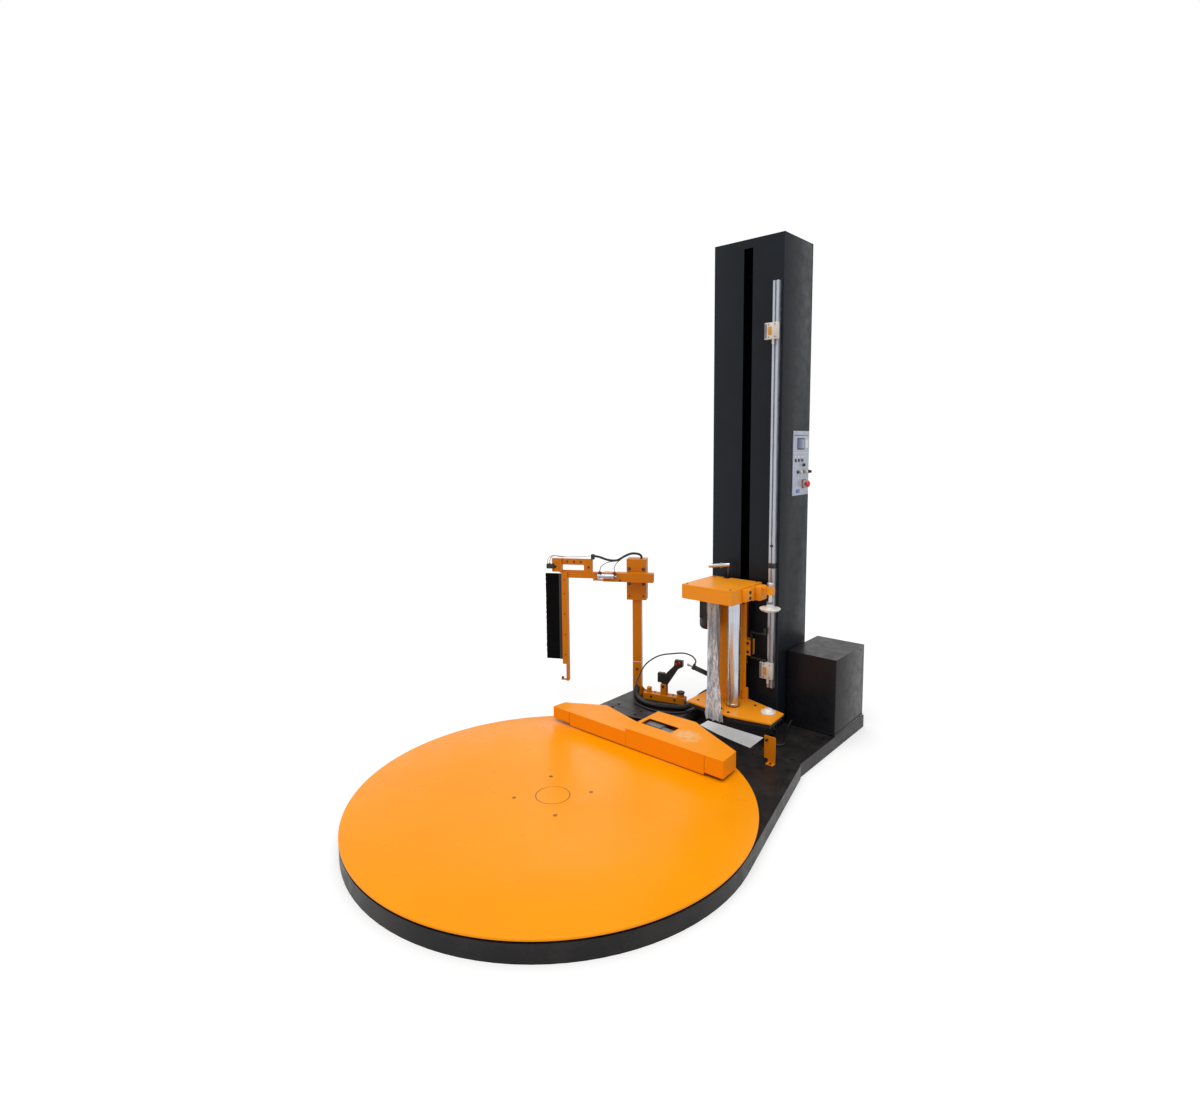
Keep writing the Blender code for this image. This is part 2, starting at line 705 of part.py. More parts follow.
def build_control_panel():
    """The plate on the mast's right side with its push buttons, selector, speed knob and stop button."""
    back_x = PANEL_FACE_X - PANEL_THICKNESS
    panel = box("control_panel", (back_x, *PANEL_LOW_YZ), (PANEL_FACE_X, *PANEL_HIGH_YZ))
    stems = {"speed_knob": SPEED_KNOB_YZ, "selector_switch": SELECTOR_YZ, **PUSH_BUTTONS}
    for name, (y, z) in stems.items():
        hole = cylinder(
            name + "_hole", STEM + RUNNING_GAP, (back_x - 0.01, y, z), (PANEL_FACE_X + 0.01, y, z), segments=16
        )
        cut(panel, hole)
    y, z = STOP_YZ
    collar = cylinder("stop_collar", 0.016, (back_x + 0.001, y, z), (PANEL_FACE_X + 0.008, y, z), segments=20)
    weld(panel, collar)
    cut(
        panel,
        cylinder("stop_hole", STOP_STEM + RUNNING_GAP, (back_x - 0.01, y, z), (PANEL_FACE_X + 0.02, y, z), segments=16),
    )
    finish(panel, "panel_grey")

    cap = 0.0085
    for name, (y, z) in PUSH_BUTTONS.items():
        button = turned(
            name,
            [(0, 0.013), (cap - 0.001, 0.013), (cap, 0.012), (cap, 0.005), (STEM, 0.005), (STEM, -STEM_DEPTH), (0, -STEM_DEPTH)],
            location=(PANEL_FACE_X, y, z),
            rotation=(0, math.pi / 2, 0),
            segments=16,
        )
        finish(button, "white_plastic")
    for name, (y, z), reach in (("speed_knob", SPEED_KNOB_YZ, 0.012), ("selector_switch", SELECTOR_YZ, 0.020)):
        knob = turned(
            name,
            [
                (0, reach),
                (cap - 0.002, reach),
                (cap, reach * 0.5),
                (cap, SEAT_GAP),
                (STEM, SEAT_GAP),
                (STEM, -STEM_DEPTH),
                (0, -STEM_DEPTH),
            ],
            location=(PANEL_FACE_X, y, z),
            rotation=(0, math.pi / 2, 0),
            segments=16,
        )
        pointer = box(name + "_grip", (-0.007, -0.0015, reach - 0.004), (0.007, 0.0015, reach + 0.003), parent=knob)
        weld(knob, pointer)
        finish(knob, "black_plastic")
    y, z = STOP_YZ
    stop = turned(
        "emergency_stop",
        [
            (0, 0.032),
            (0.012, 0.030),
            (0.018, 0.024),
            (0.018, 0.019),
            (0.011, 0.015),
            (STOP_STEM, 0.015),
            (STOP_STEM, -STEM_DEPTH),
            (0, -STEM_DEPTH),
        ],
        location=(PANEL_FACE_X, y, z),
        rotation=(0, math.pi / 2, 0),
        segments=20,
    )
    finish(stop, "red_plastic")


# ---------------------------------------------------------------- limit rail on the mast
RAIL_X = 0.333
RAIL_WIDTH = 0.030
RAIL_FRONT_Y = 1.200
BLOCK_DEPTH = 0.022
PASSING_GAP = 0.0008
HOLDER_PASSING_GAP = 0.0040


def build_limit_rail():
    """The slotted rail on the mast's front and the two limit switches that clamp to it."""
    low_x, high_x = RAIL_X - RAIL_WIDTH / 2, RAIL_X + RAIL_WIDTH / 2
    groove = 0.004
    rail = box("limit_rail", (low_x, RAIL_FRONT_Y, 0.278), (high_x, MAST_FRONT_Y - SEAT_GAP, 2.275))
    cut(rail, box("rail_groove", (RAIL_X - groove, RAIL_FRONT_Y - 0.01, 0.2), (RAIL_X + groove, RAIL_FRONT_Y + 0.010, 2.4)))
    finish(rail, "aluminium")
    face = RAIL_FRONT_Y - SEAT_GAP
    high_of_housing = HOUSING_HIGH[0] + PASSING_GAP
    for name, z_low, z_high in (("upper_limit_switch", 2.000, 2.078), ("lower_limit_switch", 0.327, 0.411)):
        block = box(name, (high_of_housing, face - BLOCK_DEPTH, z_low), (0.356, face, z_high), bevel=0.003)
        tongue = box(
            name + "_tongue",
            (RAIL_X - groove + 0.001, face - 0.004, z_low + 0.010),
            (RAIL_X + groove - 0.001, RAIL_FRONT_Y + 0.008, z_high - 0.010),
        )
        gland = cylinder(
            name + "_gland",
            0.006,
            (RAIL_X - 0.004, face - BLOCK_DEPTH / 2, z_low - 0.024),
            (RAIL_X - 0.004, face - BLOCK_DEPTH / 2, z_low + 0.004),
            segments=12,
        )
        for added in (tongue, gland):
            weld(block, added)
        finish(block, "white_plastic")


# ---------------------------------------------------------------- turntable drive
DRIVE_WHEEL_RADIUS = 0.040
DRIVE_WHEEL_XY = (0.000, 0.640)
DRIVE_SHAFT = 0.008
COVER_LOW_Z = DISC_TOP + 0.005
COVER_TOP_Z = 0.157
LID_TOP_Z = 0.175
COVER_SHEET = 0.003
COVER_OUTLINE = [(-0.546, 0.535), (-0.0603, 0.535), (-0.077, 0.658), (-0.345, 0.726), (-0.540, 0.612)]
LID_OUTLINE = [(-0.060, 0.535), (0.474, 0.540), (0.465, 0.660), (0.240, 0.765), (0.157, 0.809), (-0.065, 0.800)]
LID_WINDOW = rectangle((-0.040, 0.630), (0.135, 0.700))
END_BLOCK_LIFT = 0.010


def shrunk(outline, wall):
    """A convex outline, counter-clockwise, with every side moved inwards by a wall."""
    count = len(outline)
    sides = []
    for i in range(count):
        start, end = Vector(outline[i]), Vector(outline[(i + 1) % count])
        along = (end - start).normalized()
        sides.append((start + Vector((-along.y, along.x)) * wall, along))
    inner = []
    for i in range(count):
        (p, d), (q, e) = sides[i - 1], sides[i]
        t = ((q - p).x * e.y - (q - p).y * e.x) / (d.x * e.y - d.y * e.x)
        inner.append(tuple(p + d * t))
    return inner


def drive_cover_shell(name, outline, top, raised_from, raised_to):
    """A folded cover, open underneath, whose end block stands a little clear of the disc."""
    height = top - COVER_LOW_Z
    shell = plate(name, [outline], height, location=(0, 0, COVER_LOW_Z + height / 2))
    inner = plate(name + "_inside", [shrunk(outline, COVER_SHEET)], height, location=(0, 0, COVER_LOW_Z + height / 2 - COVER_SHEET))
    lift = box(name + "_lift", (raised_from, 0.4, 0.0), (raised_to, 0.9, COVER_LOW_Z + END_BLOCK_LIFT))
    cut(shell, inner, lift)
    return shell


def build_drive():
    """The friction wheel on the disc, its gearmotor bridging the rim, and the two covers over them."""
    wheel_x, wheel_y = DRIVE_WHEEL_XY
    axis_z = DISC_TOP + SEAT_GAP + DRIVE_WHEEL_RADIUS
    gearbox_front = wheel_y + 0.030
    half = 0.015
    wheel = turned(
        "drive_wheel",
        [
            (0, half),
            (DRIVE_WHEEL_RADIUS - 0.002, half),
            (DRIVE_WHEEL_RADIUS, half - 0.002),
            (DRIVE_WHEEL_RADIUS, 0.002 - half),
            (DRIVE_WHEEL_RADIUS - 0.002, -half),
            (DRIVE_SHAFT, -half),
            (DRIVE_SHAFT, -0.060),
            (0, -0.060),
        ],
        location=(wheel_x, wheel_y, axis_z),
        rotation=(math.pi / 2, 0, 0),
        segments=32,
    )
    finish(wheel, "rubber")
    gearbox = box(
        "drive_gearmotor",
        (wheel_x - 0.045, gearbox_front, COVER_LOW_Z + 0.003),
        (wheel_x + 0.045, gearbox_front + 0.080, 0.160),
        bevel=0.005,
    )
    motor = cylinder(
        "drive_motor_can",
        0.033,
        (wheel_x + 0.040, gearbox_front + 0.025, axis_z),
        (wheel_x + 0.200, gearbox_front + 0.025, axis_z),
    )
    bridge = box(
        "drive_bridge",
        (wheel_x - 0.050, gearbox_front + 0.070, COVER_LOW_Z + 0.001),
        (wheel_x + 0.110, DISC_RADIUS + 0.060, COVER_LOW_Z + 0.009),
    )
    legs = box(
        "drive_bridge_leg",
        (wheel_x - 0.050, DISC_RADIUS + 0.030, MAST_FOOT_Z),
        (wheel_x + 0.110, DISC_RADIUS + 0.060, COVER_LOW_Z + 0.008),
    )
    weld(gearbox, motor, bridge, legs)
    shaft_hole = cylinder(
        "drive_shaft_hole",
        DRIVE_SHAFT + RUNNING_GAP,
        (wheel_x, wheel_y, axis_z),
        (wheel_x, wheel_y + 0.062, axis_z),
        segments=32,
    )
    cut(gearbox, shaft_hole)
    finish(gearbox, "bare_steel")

    cover = drive_cover_shell("drive_cover", COVER_OUTLINE, COVER_TOP_Z, -0.60, -0.431)
    finish(cover, "orange_paint")
    lid = drive_cover_shell("drive_cover_lid", LID_OUTLINE, LID_TOP_Z, 0.380, 0.60)
    window = plate("lid_window", [LID_WINDOW], 0.05, location=(0, 0, LID_TOP_Z))
    passage = box(
        "lid_passage", (wheel_x - 0.052, 0.750, 0.0), (wheel_x + 0.112, 0.900, COVER_LOW_Z + 0.009 + SEAT_GAP)
    )
    cable_notch = box("lid_cable_notch", (-0.090, 0.770, 0.0), (-0.040, 0.900, COVER_LOW_Z + 0.040))
    cut(lid, window, passage, cable_notch)
    finish(lid, "orange_paint")


# ---------------------------------------------------------------- film carriage
def carriage_place(frame, point):
    """A world point in the carriage frame's own axes."""
    return Vector(point) - frame.location


def build_carriage(carriage):
    """The film carriage: housing, frame, trolley, rollers, core seat and sprung core cone."""

    def at(x, y, z):
        return carriage_place(carriage, (x, y, z))

    low, high = HOUSING_LOW, HOUSING_HIGH
    sheet = HOUSING_SHEET
    floor = low[2] + 0.006
    housing = box("carriage_housing", at(*low), at(*high), parent=carriage)
    cut(
        housing,
        box(
            "housing_hollow",
            at(low[0] + sheet, low[1] + sheet, floor),
            at(high[0] - sheet, high[1] - sheet, high[2] - sheet),
            parent=carriage,
        ),
    )
    for name, (x, y) in (("drive", DRIVE_ROLLER_XY), ("follow", FOLLOW_ROLLER_XY)):
        bearing = cylinder(
            "housing_bearing_" + name,
            ROLLER_SHAFT + RUNNING_GAP,
            at(x, y, low[2] - 0.01),
            at(x, y, floor + 0.01),
            parent=carriage,
            segments=20,
        )
        cut(housing, bearing)
    finish(housing, "orange_paint")

    thick = LOWER_PLATE_THICKNESS
    middle = LOWER_PLATE_TOP - thick / 2
    outline = [
        (0.000, 0.960),
        (0.145, 0.942),
        (0.262, 0.924),
        (0.466, 0.968),
        (0.455, 1.119),
        (0.227, 1.182),
        (0.000, 1.182),
    ]
    hole = ROLLER_SHAFT + RUNNING_GAP
    holes = [circle(hole, xy, 20) for xy in (DRIVE_ROLLER_XY, FOLLOW_ROLLER_XY, CORE_XY)]
    here = carriage.location
    local = [[(x - here.x, y - here.y) for x, y in loop] for loop in [outline, *holes]]
    frame = plate("carriage_frame", local, thick, parent=carriage, location=(0, 0, middle))
    back = box("carriage_back", at(0.0, 1.170, middle), at(0.214, 1.176, low[2] - SEAT_GAP), parent=carriage)
    gusset = box("carriage_gusset", at(0.207, 1.150, middle), at(0.228, 1.176, 0.262), parent=carriage)
    weld(frame, back, gusset)
    finish(frame, "orange_paint")

    bumper = plate(
        "bottom_bumper",
        [[(x - here.x, y - here.y) for x, y in shrunk(outline, 0.006)]],
        0.0217,
        parent=carriage,
        location=(0, 0, LOWER_PLATE_BOTTOM - SEAT_GAP - 0.0217 / 2),
    )
    finish(bumper, "rubber")

    motor = turned(
        "carriage_motor",
        [(0, low[2] - SEAT_GAP), (0.045, low[2] - SEAT_GAP), (0.045, 0.562), (0.035, 0.550), (0, 0.550)],
        parent=carriage,
        location=at(0.020, 1.118, 0),
        segments=28,
    )
    finish(motor, "black_paint")

    holder_back = RAIL_FRONT_Y - SEAT_GAP - BLOCK_DEPTH - HOLDER_PASSING_GAP
    holder = box("core_holder", at(high[0] + SEAT_GAP, 1.105, 0.738), at(0.330, holder_back, 0.812), parent=carriage, bevel=0.010)
    core_x, core_y = CORE_XY
    holder_arm = plate(
        "core_holder_arm",
        [[(0.320 - here.x, 1.120 - here.y), (core_x - 0.006 - here.x, core_y - 0.012 - here.y),
          (core_x + 0.006 - here.x, core_y + 0.012 - here.y), (0.325 - here.x, 1.150 - here.y)]],
        0.010,
        parent=carriage,
        location=(0, 0, 0.803),
    )
    clamp = cylinder(
        "core_holder_clamp", 0.020, at(core_x, core_y, 0.788), at(core_x, core_y, 0.826), parent=carriage
    )
    weld(holder, holder_arm, clamp)
    cut(
        holder,
        cylinder(
            "core_holder_bore",
            CORE_SHAFT + RUNNING_GAP,
            at(core_x, core_y, 0.70),
            at(core_x, core_y, 0.90),
            parent=carriage,
            segments=20,
        ),
    )
    finish(holder, "orange_paint")

    build_trolley(carriage, at)
    build_rollers(carriage, at)
    build_core(carriage, at)
    build_film(carriage, at)


def build_trolley(carriage, at):
    """The plate inside the mast with its slide shoes, the necks through the slot, and the limit trigger."""
    x = MAST_CENTRE_X
    inner = MAST_FRONT_Y + MAST_WALL + 0.020
    trolley = box("lift_trolley", at(x - 0.105, inner + 0.001, 0.360), at(x + 0.105, inner + 0.010, 0.780), parent=carriage)
    for side in (-1, 1):
        for z in (0.370, 0.700):
            near = x + side * 0.0754
            far = x + side * 0.105
            shoe = box(
                "trolley_shoe_%d_%.0f" % (side, z * 1000),
                at(min(near, far), MAST_FRONT_Y + MAST_WALL + 0.003, z),
                at(max(near, far), inner + 0.002, z + 0.060),
                parent=carriage,
            )
            weld(trolley, shoe)
    half = SLOT_WIDTH / 2 - 0.007
    lower_neck = box("trolley_neck_lower", at(x - half, 1.180, 0.432), at(x + half, inner + 0.002, 0.508), parent=carriage)
    block = box("trolley_block", at(x - half, 1.176 + SEAT_GAP, 0.430), at(0.236, 1.222, 0.510), parent=carriage)
    upper_neck = box(
        "trolley_neck_upper",
        at(x - half, HOUSING_HIGH[1] + SEAT_GAP, 0.750),
        at(x + half, inner + 0.002, 0.780),
        parent=carriage,
    )
    lug = box("trolley_lug", at(x - 0.010, inner + 0.008, 0.550), at(x + 0.010, CHAIN_FRONT_Y - SEAT_GAP, 0.600), parent=carriage)
    weld(trolley, lower_neck, block, upper_neck, lug)
    finish(trolley, "orange_paint")

    post_low, post_high = 0.418, 0.560
    face = 0.236 + SEAT_GAP
    trigger = box("limit_trigger", at(face, 1.176, post_low), at(face + 0.005, 1.192, post_high), parent=carriage)
    lower = box("trigger_lower", at(face, 1.176, post_low), at(0.318, 1.188, post_low + 0.010), parent=carriage)
    tip = box("trigger_lower_tip", at(0.306, 1.176, 0.4125), at(0.318, 1.188, post_low + 0.002), parent=carriage)
    upper = box("trigger_upper", at(face, 1.176, post_high - 0.010), at(0.318, 1.188, post_high), parent=carriage)
    riser = box("trigger_upper_tip", at(0.308, 1.176, post_high - 0.002), at(0.318, 1.188, 0.586), parent=carriage)
    weld(trigger, lower, tip, upper, riser)
    finish(trigger, "black_plastic")


def build_rollers(carriage, at):
    """Two pre-stretch rollers, whose shafts run in the lower plate and the housing and are geared above."""
    spacing = DRIVE_ROLLER_XY[0] - FOLLOW_ROLLER_XY[0]
    gears = {"drive": DRIVE_GEAR_RADIUS - SEAT_GAP, "follow": spacing - DRIVE_GEAR_RADIUS - SEAT_GAP}
    places = {"drive": DRIVE_ROLLER_XY, "follow": FOLLOW_ROLLER_XY}
    gear_low = HOUSING_LOW[2] + 0.012
    for name, (x, y) in places.items():
        gear = gears[name]
        roller = turned(
            "prestretch_roller_" + name,
            [
                (0, gear_low + GEAR_WIDTH),
                (gear, gear_low + GEAR_WIDTH),
                (gear, gear_low),
                (ROLLER_SHAFT, gear_low),
                (ROLLER_SHAFT, HOUSING_LOW[2] - 0.006),
                (ROLLER_RADIUS, HOUSING_LOW[2] - 0.006),
                (ROLLER_RADIUS, LOWER_PLATE_TOP + 0.006),
                (ROLLER_SHAFT, LOWER_PLATE_TOP + 0.006),
                (ROLLER_SHAFT, LOWER_PLATE_BOTTOM + 0.001),
                (0, LOWER_PLATE_BOTTOM + 0.001),
            ],
            parent=carriage,
            location=at(x, y, 0),
            segments=32,
        )
        finish(roller, "aluminium")


def build_core(carriage, at):
    """The seat under the film core, and the cone above it on a plunger that lifts to load a roll."""
    x, y = CORE_XY
    top = LOWER_PLATE_TOP
    seat = turned(
        "core_seat",
        [
            (0, top + 0.022),
            (0.018, top + 0.022),
            (0.026, top + 0.008),
            (CORE_SEAT_RADIUS, top + 0.008),
            (CORE_SEAT_RADIUS, top + SEAT_GAP),
            (ROLLER_SHAFT, top + SEAT_GAP),
            (ROLLER_SHAFT, LOWER_PLATE_BOTTOM + 0.001),
            (0, LOWER_PLATE_BOTTOM + 0.001),
        ],
        parent=carriage,
        location=at(x, y, 0),
        segments=28,
    )
    finish(seat, "white_plastic")
    cone_top = CORE_CONE_Z + 0.020
    hub_top = CORE_CONE_Z + 0.040
    plunger = turned(
        "core_plunger",
        [
            (0, 0.846),
            (0.014, 0.844),
            (0.014, 0.832),
            (CORE_SHAFT, 0.832),
            (CORE_SHAFT, hub_top + SEAT_GAP + 0.010),
            (0.013, hub_top + SEAT_GAP + 0.010),
            (0.013, hub_top + SEAT_GAP),
            (0.006, hub_top + SEAT_GAP),
            (0.006, CORE_CONE_Z + 0.006),
            (0, CORE_CONE_Z + 0.006),
        ],
        parent=carriage,
        location=at(x, y, 0),
        segments=20,
    )
    finish(plunger, "bare_steel")
    bore = 0.006 + RUNNING_GAP
    cone = turned(
        "core_cone",
        [
            (0.015, hub_top),
            (0.018, cone_top + 0.002),
            (CORE_CONE_RADIUS, cone_top),
            (CORE_CONE_RADIUS - 0.004, cone_top - 0.008),
            (0.026, CORE_CONE_Z),
            (0.0075, CORE_CONE_Z),
            (bore, CORE_CONE_Z + 0.003),
            (bore, hub_top),
        ],
        parent=carriage,
        location=at(x, y, 0),
        segments=28,
        ring=True,
    )
    finish(cone, "white_plastic")


def loft(name, sections, parent):
    """A closed skin through four-cornered sections of (centre, width along X, thickness along Y)."""
    bm = bmesh.new()
    rings = []
    for (x, y, z), width, thickness in sections:
        corners = [(-1, -1), (1, -1), (1, 1), (-1, 1)]
        rings.append([bm.verts.new((x + a * width / 2, y + b * thickness / 2, z)) for a, b in corners])
    for lower, upper in zip(rings, rings[1:]):
        for i in range(4):
            j = (i + 1) % 4
            bm.faces.new((lower[i], lower[j], upper[j], upper[i]))
    bm.faces.new(list(reversed(rings[0])))
    bm.faces.new(rings[-1])
    bmesh.ops.recalc_face_normals(bm, faces=bm.faces)
    mesh = bpy.data.meshes.new(name)
    bm.to_mesh(mesh)
    bm.free()
    return add_object(name, mesh, parent)


def build_film(carriage, at):
    """The tail of film that hangs from the rollers, and the photo sensor above the housing."""
    stations = [
        ((0.190, 0.918, 0.155), 0.104, 0.008),
        ((0.180, 0.922, 0.215), 0.094, 0.008),
        ((0.155, 0.962, 0.350), 0.068, 0.010),
        ((0.124, 0.998, 0.540), 0.050, 0.012),
        ((0.100, 1.0101, 0.725), 0.034, 0.014),
    ]
    film = loft("film_tail", [(at(*centre), width, thick) for centre, width, thick in stations], carriage)
    finish(film, "film")

    top = HOUSING_HIGH[2] + SEAT_GAP
    sensor = box("film_sensor", at(0.080, 1.160, top), at(0.110, 1.192, top + 0.003), parent=carriage)
    stem = box("sensor_stem", at(0.090, 1.188, top), at(0.100, 1.192, 0.892), parent=carriage)
    barrel = cylinder("sensor_barrel", 0.011, at(0.006, 1.142, 0.874), at(0.106, 1.186, 0.884), parent=carriage, segments=16)
    weld(sensor, stem, barrel)
    finish(sensor, "aluminium")


# ---------------------------------------------------------------- wiper arm
def build_arm():
    """The post stub on the base, and the swinging post, cross tube and wiper that it carries."""
    stub_frame = joint_frame("arm_post_place", (*ARM_XY, 0.0), ARM_HEADING)
    half = POST_SIDE / 2
    stub = box("arm_post_stub", (-half, -half, MAST_FOOT_Z), (half, half, ARM_SEAM_Z), parent=stub_frame)
    gusset = plate(
        "stub_gusset",
        [[(0.0, 0.0), (-0.042, 0.0), (0.0, 0.050)]],
        0.006,
        parent=stub_frame,
        location=(0.001 - half, 0, MAST_FOOT_Z),
        rotation=(math.pi / 2, 0, 0),
    )
    spigot = cylinder("stub_spigot", 0.022, (0, 0, ARM_SEAM_Z - 0.01), (0, 0, 0.320), parent=stub_frame)
    weld(stub, gusset, spigot)
    finish(stub, "orange_paint")

    swing = joint_frame("arm_swing_axis", (*ARM_XY, 0.0), ARM_HEADING)
    post = box("arm_post", (-half, -half, ARM_SEAM_Z + SEAT_GAP), (half, half, HEAD_LOW_Z + 0.01), parent=swing)
    head = box(
        "arm_head",
        (-HEAD_WIDTH / 2, -HEAD_DEPTH / 2, HEAD_LOW_Z),
        (HEAD_WIDTH / 2, HEAD_DEPTH / 2, HEAD_TOP_Z),
        parent=swing,
    )
    weld(post, head)
    cut(post, cylinder("post_socket", 0.022 + RUNNING_GAP, (0, 0, 0.2), (0, 0, 0.321), parent=swing))
    finish(post, "orange_paint")

    side = CROSS_TUBE_SIDE
    front = HEAD_DEPTH / 2 + SEAT_GAP
    low_z, high_z = CROSS_TUBE_Z - side / 2, CROSS_TUBE_Z + side / 2
    tube = box(
        "arm_cross_tube",
        (CROSS_TUBE_SPAN[0], front, low_z),
        (CROSS_TUBE_SPAN[1], front + side, high_z),
        parent=swing,
    )
    wall = 0.004
    cut(
        tube,
        box(
            "cross_tube_inside",
            (CROSS_TUBE_SPAN[0] - 0.1, front + wall, low_z + wall),
            (CROSS_TUBE_SPAN[1] + 0.1, front + side - wall, high_z - wall),
            parent=swing,
        ),
    )
    tube_y = front + side / 2
    fork_low = box(
        "tube_fork_low", (CROSS_TUBE_SPAN[1] - 0.03, tube_y - 0.014, low_z + 0.001), (WIPER_PIVOT_T + 0.014, tube_y + 0.014, low_z + 0.008), parent=swing
    )
    fork_high = box(
        "tube_fork_high", (CROSS_TUBE_SPAN[1] - 0.03, tube_y - 0.014, high_z - 0.008), (WIPER_PIVOT_T + 0.014, tube_y + 0.014, high_z - 0.001), parent=swing
    )
    pin = cylinder("tube_pin", 0.006, (WIPER_PIVOT_T, tube_y, low_z + 0.004), (WIPER_PIVOT_T, tube_y, high_z - 0.004), parent=swing, segments=16)
    weld(tube, fork_low, fork_high, pin)
    finish(tube, "orange_paint")

    actuator = cylinder(
        "wiper_actuator", 0.014, (0.115, front + side + 0.0145, 0.772), (0.212, front + side + 0.0145, 0.772), parent=swing, segments=20
    )
    port = box("actuator_port", (0.190, front + side + 0.006, 0.780), (0.206, front + side + 0.022, 0.802), parent=swing)
    weld(actuator, port)
    finish(actuator, "aluminium")

    build_wiper(swing, tube_y)
    loom = cable(
        "arm_loom",
        [
            (-0.024, 0.0, HEAD_TOP_Z + SEAT_GAP),
            (-0.024, 0.0, HEAD_TOP_Z + 0.012),
            (-0.010, 0.008, HEAD_TOP_Z + 0.026),
            (0.030, 0.020, HEAD_TOP_Z + 0.030),
            (0.070, 0.030, HEAD_TOP_Z + 0.014),
            (0.110, 0.038, HEAD_TOP_Z - 0.008),
            (0.160, 0.045, HEAD_TOP_Z - 0.006),
            (0.210, 0.055, HEAD_TOP_Z + 0.012),
            (0.238, tube_y, HEAD_TOP_Z + 0.018),
        ],
        0.007,
        parent=swing,
    )
    finish(loom, "black_plastic")


def build_wiper(swing, tube_y):
    """The pivoting wiper frame at the end of the cross tube, and the brush strip along its bar."""
    wiper = joint_frame("wiper_axis", (WIPER_PIVOT_T, tube_y, 0.0), parent=swing)
    bar_x = WIPER_BAR_T - WIPER_PIVOT_T
    half = WIPER_BAR_SIDE / 2
    top = HEAD_TOP_Z
    near_x, far_x = [t - WIPER_PIVOT_T for t in BRACKET_SPAN]
    window_near, window_far = [t - WIPER_PIVOT_T for t in WINDOW_SPAN]
    bracket = rectangle((near_x, 0.782), (far_x, top))
    window = rectangle((window_near, 0.795), (window_far, 0.825))
    frame = plate(
        "wiper_frame", [bracket, window], 0.006, parent=wiper, location=(0, 0, 0), rotation=(math.pi / 2, 0, 0)
    )
    knuckle = cylinder("wiper_knuckle", 0.013, (0, 0, 0.7466), (0, 0, 0.7794), parent=wiper, segments=20)
    link = box("wiper_link", (0.004, -0.008, 0.750), (bar_x, 0.008, 0.776), parent=wiper)
    riser = box("wiper_riser", (0.018, -0.003, 0.770), (bar_x, 0.003, 0.786), parent=wiper)
    bar = box("wiper_bar", (bar_x - half, -half, 0.243), (bar_x + half, half, 0.782), parent=wiper)
    bar_top = box("wiper_bar_top", (window_far, -half, 0.780), (window_far + 0.012, half, top), parent=wiper)
    bar_tail = box("wiper_bar_tail", (bar_x - half, -half, 0.143), (bar_x - half + 0.014, half, 0.250), parent=wiper)
    hook = box("wiper_hook", (bar_x - half, -0.006, 0.143), (bar_x + 0.030, 0.006, 0.150), parent=wiper)
    weld(frame, link, riser, bar, bar_top, bar_tail, hook, knuckle)
    cut(frame, cylinder("wiper_pin_hole", 0.006 + RUNNING_GAP, (0, 0, 0.7), (0, 0, 0.9), parent=wiper, segments=16))
    finish(frame, "orange_paint")

    near = bar_x + half + SEAT_GAP
    outline = [(near, 0.266), (near + BRUSH_WIDTH, 0.286), (near + BRUSH_WIDTH, 0.773), (near, 0.773)]
    brush = plate("brush_strip", [outline], 0.016, parent=wiper, rotation=(math.pi / 2, 0, 0))
    finish(brush, "black_plastic")


# ---------------------------------------------------------------- film clamp
CYLINDER_ANCHOR = Vector((MAST_LEFT_X - SEAT_GAP, 1.270, 0.235))
CYLINDER_ROD_END = Vector((-0.172, 1.206, 0.292))
CYLINDER_PORT_LENGTH = 0.022


def cylinder_way():
    """The air cylinder's direction, from its foot on the mast to its rod's end."""
    return (CYLINDER_ROD_END - (CYLINDER_ANCHOR - Vector((0.02, 0, 0)))).normalized()


def cylinder_port():
    """The direction and the foot of the air cylinder's port, square to the barrel."""
    along = cylinder_way()
    raised = Vector((0, 0.35, 0.94))
    return (raised - along * raised.dot(along)).normalized(), CYLINDER_ROD_END - along * 0.038


